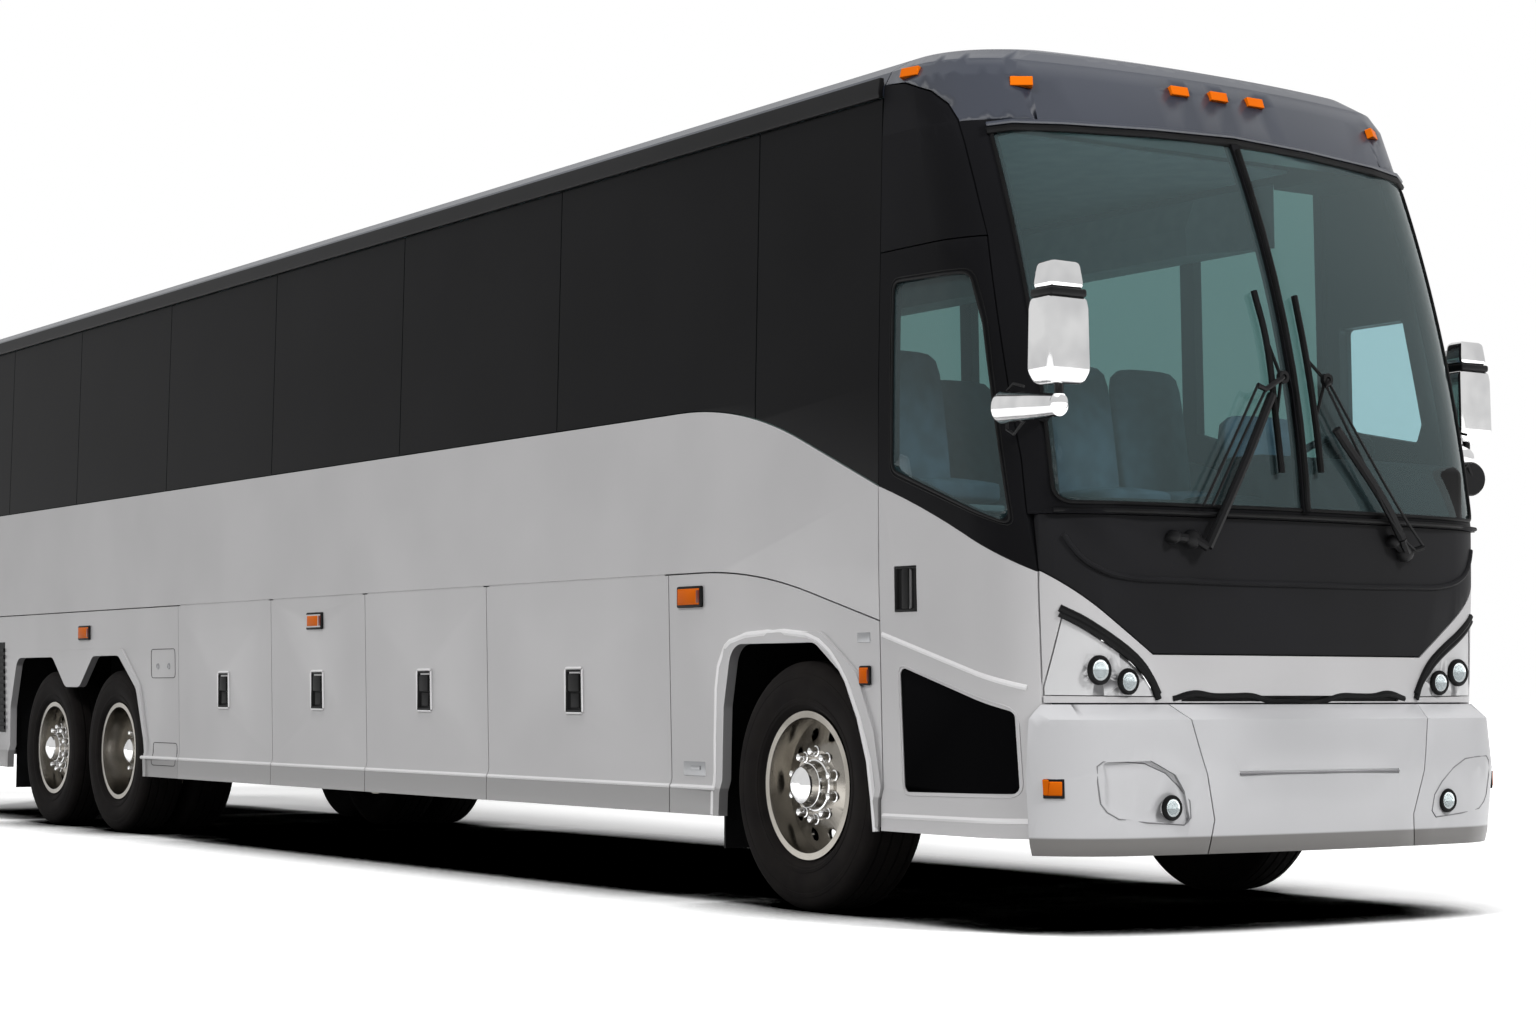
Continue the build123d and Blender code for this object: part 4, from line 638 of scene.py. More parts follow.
CATCH_Z = 0.922                  # height of the middle of a luggage door's pocket
CATCH_HALF, CATCH_HIGH = 0.077, 0.103      # half length and half height of a luggage door's pocket
CREASE_BEAD = (0.022, -0.006)    # width of the bead on a crease, and how far its middle stands proud


def build_luggage_catches():
    """Paddle catch in a black pocket on every luggage door, with a silver rim, and the door's crease."""
    for i, (front, back) in enumerate(zip(BAY_SEAMS, BAY_SEAMS[1:]), 1):
        x = STEER + (front + back) / 2
        for name, side in SIDES:
            box = tray(side_block(side, about(x, CATCH_HALF), (1.2675, 1.2868), about(CATCH_Z, CATCH_HIGH)),
                       0.012, 0.014, side)
            grip = side_block(side, about(x, 0.052), (1.268, 1.2895),
                              (CATCH_Z - 0.005, CATCH_Z + 0.082), 0.008)
            latch = side_block(side, about(x, 0.040), (1.268, 1.2795),
                               (CATCH_Z - 0.082, CATCH_Z - 0.010), 0.005)
            door = f"luggage_door_{name}_{i}"
            finished(joined([box, grip, latch]), f"luggage_catch_{name}_{i}", "black_plastic", door)
            shell = shell_of(door)
            rim = rounded_corners(frame_of(x, CATCH_Z, CATCH_HALF + 0.004, CATCH_HIGH + 0.004), 0.018)
            crease = from_steer(((back + 0.006, CREASE_Z), (front - 0.006, CREASE_Z)))
            beads = [side_bead(shell, rim, side, 0.014, 0.001, True, 0.2),
                     side_bead(shell, crease, side, *CREASE_BEAD, False, 1.0)]
            # The rim and crease beads take the paler silver: a painted highlight
            finished(joined(beads), f"luggage_door_beads_{name}_{i}", "silver_paint", door, HIGHLIGHT_SILVER)


build_luggage_catches()

# ---- entrance door
# Outlines and ridges on the entrance door, (ahead of the steered axle, height)
DOOR_WINDOW = ((0.705, 2.570), (1.160, 2.558), (1.235, 2.350), (1.398, 1.565), (0.705, 1.815))
DOOR_LOWER_GLASS = ((0.735, 1.022), (1.400, 0.842), (1.410, 0.530), (0.750, 0.520))
DOOR_RIDGES = (((0.618, 1.151), (1.440, 0.936)), ((0.618, 0.421), (1.440, 0.427)))
RIDGE_BEAD = (0.028, -0.009)     # width, and how far its middle stands proud
# Beads of the door: piece, slot, pane, how far outwards of it, corner radius, width, how far proud
DOOR_BEADS = (("door_glass_rubber", "black_plastic", DOOR_WINDOW, 0.006, 0.045, 0.012, 0.0),
              ("door_window_edge_trim", "black_plastic", DOOR_WINDOW, 0.020, 0.055, 0.005, 0.0005),
              ("door_lower_glass_trim", "silver_paint", DOOR_LOWER_GLASS, 0.012, 0.055, 0.007, 0.0))
HANDLE = (CAB_SEAM + 0.180, 1.330, 0.073, 0.091)      # x, height, half length and half height of its pocket


def door_bead(outline, outwards, radius, width, proud):
    """Bead round one of the door's panes, some way outwards of it."""
    line = from_steer(rounded_corners(grown(outline, outwards), radius))
    return side_bead(DOOR_SHELL, line, RIGHT, width, proud)


def build_door_trim():
    """Rubber and beads round the door's glass, its pressed ridges and its handle."""
    door = "entrance_door"
    for name, slot, pane, *bead in DOOR_BEADS:
        finished(door_bead(pane, *bead), name, slot, door)
    ridges = [side_bead(DOOR_SHELL, from_steer(line), RIGHT, *RIDGE_BEAD, False, 0.03)
              for line in DOOR_RIDGES]
    # The ridges take the paler silver: a painted highlight
    finished(joined(ridges), "door_crease_beads", "silver_paint", door, HIGHLIGHT_SILVER)
    x, z, half, high = HANDLE
    face = -on_side(DOOR_SHELL, CAB_SEAM + 0.05, z).y
    box = side_block(RIGHT, about(x, half), (face - 0.0225, face + 0.002), about(z, high))
    grip = side_block(RIGHT, about(x, 0.024), (face - 0.018, face + 0.004), about(z, 0.082), 0.008)
    finished(joined([tray(box, 0.010, 0.016, RIGHT), grip]), "entrance_door_handle", "black_plastic", door)


build_door_trim()

# ---- marker lamps
# Side lamps: ahead of the steered axle, height, half length, half height, body on the right and on the left
SIDE_LAMPS = ((-0.831, 1.340, 0.104, 0.048, "body", "body"), (-8.457, 1.301, 0.104, 0.048, "body", "body"),
              (-4.807, 1.310, 0.104, 0.048, "luggage_door_right_3", "luggage_door_left_3"),
              (0.503, 0.985, 0.038, 0.040, "body", "body"))
SIDE_LEAN, LEAN_TOP = 0.0253, 1.44      # the side leans in below this height, by this share
REFLECTOR_PROUD = {RIGHT: 0.018, LEFT: 0.016}      # how far the reflectors stand out
BUMPER_LAMP = (6.520, 6.596, 0.555)     # ends of the place on the bumper's flank, and height
# Surround and lens of the bumper's lamp: half length, half height, half depth
BUMPER_LAMP_PARTS = ((0.041, 0.037, 0.007), (0.033, 0.027, 0.010))


def build_side_lamps():
    """Dark moulded surround of every side lamp, its amber lens and the dark reflector beside it."""
    surrounds, lenses = [], []
    for i, (ahead, z, half, high, *bodies) in enumerate(SIDE_LAMPS, 1):
        x, y = STEER + ahead, HALF_WIDTH - (LEAN_TOP - z) * SIDE_LEAN
        for body, (name, side) in zip(bodies, SIDES):
            surround = side_block(side, about(x, half), (y - 0.002, y + 0.0135), about(z, high), 0.012)
            lens = side_block(side, (x - half * 0.80, x + half * 0.62), (y + 0.004, y + 0.018),
                              about(z, high * 0.66), 0.006)
            dim = side_block(side, (x + half * 0.64, x + half * 0.88), (y + 0.004, y + REFLECTOR_PROUD[side]),
                             about(z, high * 0.62), 0.004)
            finished(dim, f"lamp_reflector_{i}_{name}", "red_lens", body, REFLEX)
            if body == "body":
                surrounds.append(surround)
                lenses.append(lens)
            else:
                finished(surround, f"lamp_surround_{body}", "black_plastic", body)
                finished(lens, f"lamp_lens_{body}", "amber_lens", body)
    for _, side in SIDES:
        rear, front = (on_side(BUMPER_SHELL, x, BUMPER_LAMP[2], 0.0, side) for x in BUMPER_LAMP[:2])
        turn = Matrix.Rotation(math.atan2(front.y - rear.y, front.x - rear.x), 4, "Z")
        for group, (half, high, deep) in zip((surrounds, lenses), BUMPER_LAMP_PARTS):
            block = rounded_block((-half, -deep, -high), (half, deep, high), 0.004)
            block.data.transform(Matrix.Translation((rear + front) / 2) @ turn)
            group.append(block)
    finished(joined(surrounds), "side_lamp_surrounds", "black_plastic")
    finished(joined(lenses), "side_lamp_lenses", "amber_lens")


build_side_lamps()

# ---- small side fittings
# Rolled lip of the front wheel arch, (ahead of the steered axle, height)
ARCH_LIP = ((-0.666, 0.379), (-0.655, 0.709), (-0.640, 0.930), (-0.618, 1.030), (-0.575, 1.095),
            (-0.500, 1.138), (-0.378, 1.162), (-0.128, 1.174), (0.094, 1.156), (0.180, 1.132),
            (0.260, 1.085), (0.320, 1.030), (0.374, 0.965), (0.461, 0.813), (0.527, 0.640),
            (0.555, 0.489), (0.573, 0.356))
# Service flaps: x, height, half length, half height
FLAPS = ((-2.1025, 1.088, 0.1975, 0.090), (-2.0825, 0.521, 0.1975, 0.071))
FLAP_CATCHES, CATCH_ROW = (-2.190, -2.010), 1.070
CATCH_DISC = ((0, -0.002), (0.020, -0.002), (0.020, 0.003), (0.014, 0.005), (0.013, 0.002), (0, 0.002))
BARE_PLATE = (5.428, 5.516, 1.120, 1.160)      # ends in x and in height
SKIRT_CREASES = ((3.966, 4.355), (-2.440, -1.856))
# Catch of the skirt flap and its pull: ranges along, out and up
SKIRT_CATCH = ((4.060, 4.245), (1.262, 1.2752), (0.543, 0.611))
SKIRT_PULL = ((4.130, 4.205), (1.276, 1.2795), (0.572, 0.590))


def build_side_fittings():
    """Catch of the skirt flap, outlines and catches of the service flaps, a bare plate, and the creases."""
    plates, lines, bright, creases = [], [], [], []
    for _, side in SIDES:
        plates.append(side_block(side, *SKIRT_CATCH, 0.006))
        bright.append(side_block(side, *SKIRT_PULL, 0.0016, 2))
        for flap in FLAPS:
            lines.append(side_bead(SIDE_SHELL, rounded_corners(frame_of(*flap), 0.03), side, 0.004, 0.0002))
        for x in FLAP_CATCHES:
            bright.append(turned(CATCH_DISC, on_side(SIDE_SHELL, x, CATCH_ROW, 0.0, side), (0, side, 0), 20))
        x0, x1, z0, z1 = BARE_PLATE
        face = abs(on_side(SIDE_SHELL, (x0 + x1) / 2, (z0 + z1) / 2, 0.0, side).y)
        bright.append(side_block(side, (x0, x1), (face - 0.002, face + 0.003), (z0, z1), 0.002, 2))
        for ends in SKIRT_CREASES:
            line = [(x, CREASE_Z) for x in ends]
            creases.append(side_bead(SIDE_SHELL, line, side, *CREASE_BEAD, False, 1.0))
        creases.append(side_bead(SIDE_SHELL, from_steer(ARCH_LIP), side, 0.030, -0.010, False))
    # The creases and arch lip take the paler silver: a painted highlight
    finished(joined(creases), "skirt_crease_beads", "silver_paint", look=HIGHLIGHT_SILVER)
    finished(joined(plates), "skirt_catch_plates", "black_plastic", look=BRUSHED)
    finished(joined(lines), "service_flap_outlines", "black_plastic")
    finished(joined(bright), "side_catches", "polished_alloy", look=BRUSHED)


build_side_fittings()

# ---- front lamps
# Lamps of one side: side, height, radius and the shell they stand on
LAMPS = ((0.975, 1.003, 0.047, NOSE_SHELL), (0.846, 0.960, 0.042, NOSE_SHELL),
         (0.745, 0.480, 0.040, BUMPER_SHELL))
# Outlines in shares of a lamp's radius, and heights in metres
LAMP_RING = ((0.82, 0.0), (1.22, -0.004), (1.22, 0.004), (1.08, 0.012), (0.92, 0.014), (0.84, 0.008))
LAMP_BOWL = ((0, 0.002), (0.2, 0.0026), (0.5, 0.0036), (0.88, 0.0085), (0.88, 0.001), (0, 0.0005))
LAMP_DOME = ((0, 0.009), (0.3, 0.0115), (0.33, 0.0095), (0.6, 0.0105), (0.63, 0.0085), (0.86, 0.0085),
             (0.86, 0.006), (0, 0.006))
# Dark strip over the headlamps, (side, height)
BROW_STRIP = ((1.118, 1.232), (1.040, 1.190), (0.966, 1.147), (0.895, 1.106), (0.833, 1.066), (0.780, 1.022),
              (0.735, 0.965), (0.700, 0.905))


def build_front_lamps():
    """Dark rings, chromed bowls and glass domes square to the surface behind them, and the strip above."""
    rings, bowls, domes, brows, edges = [], [], [], [], []
    for _, side in SIDES:
        for y, z, radius, shell in LAMPS:
            middle, normal = on_front(shell, side * y, z)
            facing = (normal + Vector((0.6, 0, 0))).normalized()
            parts = ((rings, LAMP_RING, 36), (bowls, LAMP_BOWL, 20), (domes, LAMP_DOME, 36))
            for group, shares, steps in parts:
                outline = [(share * radius, height) for share, height in shares]
                group.append(turned(outline, middle, facing, steps))
        for lift in (-0.012, 0.008):
            brows.append(front_bead(NOSE_SHELL, [(side * y, z + lift) for y, z in BROW_STRIP], 0.030, 0.0))
        edge = [(side * y, z - 0.028) for y, z in BROW_STRIP[2:-1]]
        edges.append(front_bead(NOSE_SHELL, edge, 0.005, 0.002))
    finished(joined(rings), "lamp_rings", "black_plastic")
    finished(joined(bowls), "lamp_bowls", "chrome", angle=12)
    finished(joined(domes), "lamp_glasses", "clear_glass", look=LENS_GLASS)
    finished(joined(brows), "headlamp_brows", "black_plastic")
    finished(joined(edges), "headlamp_brow_edges", "chrome")


build_front_lamps()

# ---- lines of the front, (side, height), from one end to the middle where they mirror
SCREEN_HALF, SCREEN_FOOT, SCREEN_TOP, SCREEN_CORNER = 1.136, 1.643, 3.172, 0.070
BROW = ((6.110, 1.152, 3.137), (6.163, 1.068, 3.150), (6.221, 0.861, 3.158), (6.268, 0.420, 3.174),
        (6.278, 0.0, 3.186))     # the lip over the screen, as points in space
FASCIA_CREASE = ((1.110, 1.520), (1.080, 1.470), (1.040, 1.425), (0.975, 1.388), (0.900, 1.366),
                 (0.600, 1.352), (0.315, 1.348), (0.0, 1.348))
BELT_BAR = tuple((y, 1.612) for y in (1.150, 0.900, 0.500, 0.0))
NOSE_SLOT = ((-0.630, 0.894), (0.630, 0.894))
PLATE_LINE = ((-0.430, 0.606), (0.0, 0.606), (0.430, 0.606))
POCKET = ((1.059, 0.640), (1.037, 0.657), (0.950, 0.656), (0.861, 0.649), (0.774, 0.613), (0.706, 0.559),
          (0.662, 0.505), (0.652, 0.440), (0.680, 0.414), (0.850, 0.426), (0.973, 0.441), (1.018, 0.467),
          (1.043, 0.499), (1.058, 0.580))
DIVIDER_HEIGHTS = (1.64, 1.8, 2.0, 2.2, 2.4, 2.6, 2.8, 3.0, 3.15)


def both_halves(points):
    return [(-y, z) for y, z in points] + [(y, z) for y, z in reversed(points[:-1])]


def build_front_lines():
    """Rubber round the windscreen and down its divider, the lip over it, and lines of the panels below, those
    on the bumper grey as painted shade.
    """
    corners = [(-SCREEN_HALF, SCREEN_TOP), (SCREEN_HALF, SCREEN_TOP), (SCREEN_HALF, SCREEN_FOOT),
               (-SCREEN_HALF, SCREEN_FOOT)]
    corners = rounded_corners(corners, SCREEN_CORNER, 6)
    rubber = front_bead(FRONT_SHELL, filled(corners + corners[:1])[:-1], 0.016, 0.001, True, False)
    brow = filled([(x, -y, z) for x, y, z in BROW] + [(x, y, z) for x, y, z in reversed(BROW[:-1])])
    lip = tube([(x + 0.010, y, z) for x, y, z in brow], 0.015)
    bead = tube([(x + 0.008, y, z + 0.026) for x, y, z in brow], 0.010)
    finished(lip, "windscreen_brow_lip", "black_plastic")
    finished(bead, "windscreen_brow_bead", "charcoal_paint")
    bar = front_bead(FRONT_SHELL, both_halves(BELT_BAR), 0.018, 0.002)
    finished(joined([rubber, bar]), "windscreen_rubber", "black_plastic")
    crease = front_bead(FRONT_SHELL, both_halves(FASCIA_CREASE), 0.022, 0.002)
    finished(crease, "fascia_crease", "black_gloss", look=FASCIA)
    finished(front_bead(NOSE_SHELL, filled(NOSE_SLOT, 0.1), 0.028, -0.008), "nose_slot_seal", "black_plastic")
    # Grey lines along the plate recess and round the fog lamp pockets: painted shade
    lines = [front_bead(BUMPER_SHELL, PLATE_LINE, 0.009, 0.0, False, False)]
    for _, side in SIDES:
        lines.append(front_bead(BUMPER_SHELL, [(side * y, z) for y, z in POCKET], 0.0056, 0.0, True, False))
    finished(joined(lines), "bumper_painted_shade_lines", "bumper_paint", look=SHADE_GREY)
    shell = shell_of("windscreen_frame")
    divider = tube([(on_front(shell, 0.0, z)[0].x + 0.004, 0, z) for z in DIVIDER_HEIGHTS], 0.012)
    finished(divider, "windscreen_divider_rubber", "black_plastic")


build_front_lines()

# ---- mirrors
MIRROR_Y = 1.520
# Each mirror: side of the bus, x of its head, root and knee of its arm
MIRRORS = ((RIGHT, 7.011, (6.564, -1.420, 1.985), (7.021, -1.520, 1.957)),
           (LEFT, 6.140, (6.262, 1.262, 1.962), (6.140, 1.520, 1.962)))
# Levels of a housing: height, half length, half width
FLAT_HEAD = ((2.025, 0.050, 0.078), (2.062, 0.070, 0.100), (2.300, 0.066, 0.097), (2.345, 0.062, 0.090))
WIDE_HEAD = ((2.368, 0.058, 0.080), (2.400, 0.057, 0.079), (2.474, 0.050, 0.068))
KNUCKLE = ((0, -0.034), (0.022, -0.030), (0.032, -0.014), (0.034, 0.0), (0.032, 0.014), (0.022, 0.030),
           (0, 0.034))
ARM_LOOP = ((0.08, -0.060), (0.02, -0.105), (-0.02, -0.085), (-0.02, 0.060), (0.02, 0.085), (0.08, 0.070))
ARM_STRETCH = 1.15               # the arm's section is taller than wide
ROUND_MIRROR = ((0, -0.012), (0.070, -0.012), (0.076, 0.0), (0.060, 0.018), (0, 0.022))


def shaped_head(levels, x, y):
    """Mirror housing: a rounded block with the widths of its levels."""
    piece = rounded_block((x - 0.5, y - 0.5, levels[0][0]), (x + 0.5, y + 0.5, levels[-1][0]))
    open_mesh(piece)
    for z, _, _ in levels[1:-1]:
        bpy.ops.mesh.select_all(action="SELECT")
        bpy.ops.mesh.bisect(plane_co=(0, 0, z), plane_no=(0, 0, 1))
    close_mesh()
    for vertex in piece.data.vertices:
        _, long, wide = min(levels, key=lambda level: abs(level[0] - vertex.co.z))
        vertex.co.x = x + math.copysign(long, vertex.co.x - x)
        vertex.co.y = y + math.copysign(wide, vertex.co.y - y)
    return bevelled(piece, 0.022, 4, 25)


def tapered_arm(root, tip, thick, thin):
    """Arm of oval section that narrows from its root to its tip."""
    way = Vector(tip) - Vector(root)
    long = way.length
    outline = ((0, 0), (thick, 0.0), (thick, 0.02), (thick * 0.9, long * 0.3),
               ((thick + thin) / 2, long * 0.6), (thin, long - 0.01), (thin * 0.6, long), (0, long))
    arm = turned(outline, root, way, 24)
    for vertex in arm.data.vertices:
        vertex.co.z = root[2] + (vertex.co.z - root[2]) * ARM_STRETCH
    return arm


def build_mirrors():
    """Chromed twin-head mirrors on tapered arms, a rubber band between the heads, and a round cab mirror."""
    chrome, dark, glass = [], [], []
    for side, x, root, knee in MIRRORS:
        y = side * MIRROR_Y
        chrome += [shaped_head(levels, x, y) for levels in (FLAT_HEAD, WIDE_HEAD)]
        chrome += [turned(KNUCKLE, (x, y, 1.962), (0, 0, 1), 24), tapered_arm(root, knee, 0.054, 0.036)]
        dark.append(rounded_block((x - 0.062, y - 0.085, 2.342), (x + 0.062, y + 0.085, 2.372), 0.010))
        dark.append(tube([(x, y, 1.935), (x, y, 2.035)], 0.017))
        dark.append(tube([(root[0] + 0.04 + dx, root[1], root[2] + dz) for dx, dz in ARM_LOOP], 0.006))
        glass.append(rounded_block((x - 0.0715, y - 0.080, 2.100), (x - 0.064, y + 0.085, 2.320), 0.003))
        glass.append(rounded_block((x - 0.061, y - 0.060, 2.388), (x - 0.052, y + 0.066, 2.440), 0.003))
    dark.append(tube([(6.450, -1.130, 1.975), (6.540, -1.270, 1.980), (6.572, -1.420, 1.985)], 0.022))
    dark.append(turned(ROUND_MIRROR, (6.128, 1.560, 1.868), (-1, 0.15, 0.05), 32))
    dark.append(tube([(6.140, 1.520, 1.940), (6.132, 1.556, 1.880)], 0.010))
    finished(joined(chrome), "mirror_housings", "chrome", angle=40, instead=["mirrors"])
    finished(joined(dark), "mirror_brackets", "black_satin", angle=40)
    finished(joined(glass), "mirror_glasses", "chrome", look=MIRROR_GLASS, angle=40)


build_mirrors()

# ---- wipers
# Each wiper, as (side, height) on the screen: bosses, wide arm, thin rods, joint and blade
WIPERS = (
    (((-0.664, 1.519), (-0.575, 1.512)), ((-0.528, 1.480), (-0.356, 1.792), (-0.166, 2.096)),
     (((-0.566, 1.640), (-0.405, 1.890), (-0.240, 2.130)),
      ((-0.524, 1.640), (-0.365, 1.890), (-0.200, 2.116))),
     (-0.093, 2.172), ((-0.135, 2.528), (-0.122, 2.329), (-0.134, 2.001), (-0.130, 1.788))),
    (((0.505, 1.535), (0.585, 1.490)), ((0.520, 1.545), (0.425, 1.670), (0.165, 1.975)),
     (((0.655, 1.515), (0.525, 1.625), (0.312, 1.904), (0.152, 2.163)),
      ((0.600, 1.500), (0.495, 1.563), (0.264, 1.901), (0.134, 2.149))),
     (0.150, 2.176), ((0.084, 2.524), (0.081, 2.260), (0.081, 2.013), (0.084, 1.798))),
)
# How far the parts stand off the screen
ARM_PROUD, ROD_PROUD, FOOT_PROUD = 0.052, 0.060, 0.030
PIVOT_PROUD, HOLDER_PROUD, BLADE_PROUD = 0.020, 0.042, 0.026
JOINT_RING = ((0.012, -0.010), (0.026, -0.010), (0.026, 0.010), (0.012, 0.010))


def wiper_boss(radius):
    """Outline of a wiper's boss."""
    return ((0, -0.03), (radius, -0.03), (radius * 1.05, 0.02), (radius * 0.8, 0.040), (radius * 0.4, 0.048),
            (0, 0.048))


def off_screen(proud, *spots):
    """Points straight ahead of spots on the screen."""
    return [(on_front(FRONT_SHELL, *spot)[0].x + proud, *spot) for spot in spots]


def build_wipers():
    """Two pantograph wipers parked beside the divider: bosses, wide arm, thin rods, ring joint and blade."""
    arms, blades = [], []
    for bosses, wide, rods, joint, blade in WIPERS:
        for boss, radius in zip(bosses, (0.026, 0.036)):
            arms.append(turned(wiper_boss(radius), on_front(FRONT_SHELL, *boss)[0], (1, 0, 0), 24))
        arms.append(tube(off_screen(PIVOT_PROUD, *bosses), 0.018))
        arms.append(tube(off_screen(ARM_PROUD, *wide), 0.019, False, True))
        foot = off_screen(FOOT_PROUD, bosses[1])
        arms.append(tube(foot + off_screen(ARM_PROUD, wide[0]), 0.019))
        arms += [tube(off_screen(ROD_PROUD, *rod), 0.0055, False, True) for rod in rods]
        heads = off_screen(ROD_PROUD, *(rod[-1] for rod in rods)) + off_screen(ARM_PROUD, joint)
        arms.append(tube(heads, 0.012))
        if joint[0] > 0:         # the driver's wiper carries its rods on a foot of their own
            arms.append(tube(off_screen(ROD_PROUD, rods[0][0]) + foot, 0.012))
        arms.append(turned(JOINT_RING, heads[-1], (1, 0, 0), 24))
        line, holder = off_screen(BLADE_PROUD, *blade), off_screen(HOLDER_PROUD, joint)
        blades.append(tube(line, 0.012, False, True))
        blades.append(tube([(x - 0.013, y, z) for x, y, z in line], 0.006, False, True))
        blades += [tube([line[1], *holder], 0.007), tube([*holder, line[2]], 0.007)]
    finished(joined(arms), "wiper_arms", "black_satin", angle=40, instead=["wipers"])
    finished(joined(blades), "wiper_blades", "black_plastic", angle=40)


build_wipers()

# ---- seats
DRIVER_SEAT = (STEER + 1.010, 0.690, COCKPIT_Z, 0.520)      # x, y, floor and width
SEAT_PITCH, SEAT_ROWS = 0.860, 12
FIRST_ROW, BENCH_SIDE, BENCH_WIDE = STEER - 0.060, 0.720, 0.900
BACK_LEAN = -9.2                 # degrees about a line across the bus


def cushion(low, high, crown, edge):
    """Crowned closed pad: a block with rounded edges, swollen between its corners."""
    piece = rounded_block(low, high)
    open_mesh(piece)
    bpy.ops.mesh.subdivide(number_cuts=3)
    close_mesh()
    middle = [(a + b) / 2 for a, b in zip(low, high)]
    half = [(b - a) / 2 for a, b in zip(low, high)]
    thin = half.index(min(half))
    for vertex in piece.data.vertices:
        u = [(vertex.co[i] - middle[i]) / half[i] for i in range(3)]
        for i in range(3):
            inner = (1 - u[(i + 1) % 3] ** 2) * (1 - u[(i + 2) % 3] ** 2)
            vertex.co[i] += u[i] * (crown * inner * (i == thin) - edge * (1 - inner))
    return modified(piece, "SUBSURF", levels=1, render_levels=1)


def seat_pads(x, y, z, width, count=1):
    """Cushions and leaning backs of one bench of count places."""
    pads, each = [], width / count
    pivot = Vector((x - 0.17, y, z + 0.34))
    turn = Matrix.Rotation(math.radians(BACK_LEAN), 4, "Y")
    lean = Matrix.Translation(pivot) @ turn @ Matrix.Translation(-pivot)
    for i in range(count):
        y0, y1 = y - width / 2 + i * each + 0.008, y - width / 2 + (i + 1) * each - 0.008
        pads.append(cushion((x - 0.200, y0, z + 0.335), (x + 0.228, y1, z + 0.448), 0.014, 0.012))
        pads.append(cushion((x - 0.225, y0, z + 0.345), (x - 0.128, y1, z + 1.065), 0.012, 0.014))
        pads[-1].data.transform(lean)
    return joined(pads)


def seat_frame(x, y, z, width):
    """Pedestal and pan under the pads."""
    half = width / 2 - 0.01
    pan = rounded_block((x - 0.215, y - half, z + 0.305), (x + 0.205, y + half, z + 0.335), 0.008)
    leg = rounded_block((x - 0.150, y - 0.090, z + 0.001), (x + 0.150, y + 0.090, z + 0.306), 0.012)
    return joined([pan, leg])


def build_seats():
    """Driver's seat and the passenger benches, padded backs and cushions on plain frames."""
    driver = finished(seat_pads(*DRIVER_SEAT), "driver_seat_pads", "seat_fabric", angle=60, instead=["seats"])
    frames = [seat_frame(*DRIVER_SEAT)]
    bench, base = seat_pads(0, 0, DECK_Z, BENCH_WIDE, 2), seat_frame(0, 0, DECK_Z, BENCH_WIDE)
    for name, side in SIDES:
        for i in range(SEAT_ROWS):
            shift = (FIRST_ROW - i * SEAT_PITCH, side * BENCH_SIDE, 0)
            row = finished(copied(bench, shift), f"bench_pads_{name}_{i + 1}", "seat_fabric", angle=60)
            frames.append(copied(base, shift))
    bpy.data.objects.remove(bench)
    bpy.data.objects.remove(base)
    finished(joined(frames), "seat_frames", "trim_plastic")


build_seats()

# ---- lining and driver's controls
CEILING = ((-6.300, -0.880, 3.235), (5.700, 0.880, 3.250))      # its two corners
# The hood over the instruments and its lower end: two corners and the radius of the edges
HOODS = (((6.330, -0.150, 1.600), (6.600, 1.020, 1.872), 0.050),
         ((6.330, -0.360, 1.560), (6.600, -0.100, 1.700), 0.040))
WHEEL_AT, WHEEL_TILT = Vector((NOSE - 0.690, 0.690, COCKPIT_Z + 0.800)), math.radians(35)
WHEEL_HUB = ((0, -0.02), (0.055, -0.02), (0.062, 0.0), (0.050, 0.018), (0.02, 0.024), (0, 0.024))


def build_lining():
    """Pale lining under the roof between the racks, and the hood over the driver's instruments."""
    finished(rounded_block(*CEILING, 0.005), "ceiling_lining", "trim_plastic", look=LINING)
    finished(joined([rounded_block(*hood, 4) for hood in HOODS]), "instrument_hood", "black_plastic")


def on_wheel(radius, angle):
    """Point on the tilted steering wheel."""
    flat = Vector((radius * math.cos(angle), radius * math.sin(angle), 0))
    return WHEEL_AT + Matrix.Rotation(-WHEEL_TILT, 4, "Y") @ flat


def build_steering_wheel():
    """Rim, spokes and hub on a tilted column."""
    parts = [tube([on_wheel(0.225, math.tau * i / 40) for i in range(40)], 0.016, True)]
    parts += [tube([WHEEL_AT, on_wheel(0.215, math.radians(angle))], 0.013) for angle in (20, 160, 270)]
    parts.append(turned(WHEEL_HUB, WHEEL_AT, (-math.sin(WHEEL_TILT), 0, math.cos(WHEEL_TILT)), 28))
    parts.append(tube([WHEEL_AT, (NOSE - 0.56, WHEEL_AT.y, COCKPIT_Z + 0.68)], 0.030))
    finished(joined(parts), "steering_wheel_rim", "black_plastic", instead=["steering_wheel"])


build_lining()
build_steering_wheel()


# ---- camera, floor and lights
def build_camera():
    heading, tilt, roll = (math.radians(v) for v in (CAMERA_HEADING, CAMERA_TILT, CAMERA_ROLL))
    ahead = Vector((math.cos(heading) * math.cos(tilt), math.sin(heading) * math.cos(tilt), math.sin(tilt)))
    right = ahead.cross(Vector((0, 0, 1))).normalized()
    up = right.cross(ahead)
    right, up = right * math.cos(roll) + up * math.sin(roll), up * math.cos(roll) - right * math.sin(roll)
    camera = bpy.data.objects.new("camera", bpy.data.cameras.new("camera"))
    bpy.context.scene.collection.objects.link(camera)
    camera.matrix_world = Matrix.Translation(CAMERA_AT) @ Matrix((right, up, -ahead)).transposed().to_4x4()
    camera.data.lens, camera.data.sensor_width, camera.data.clip_end = CAMERA_LENS, CAMERA_SENSOR, 400
    bpy.context.scene.camera = camera


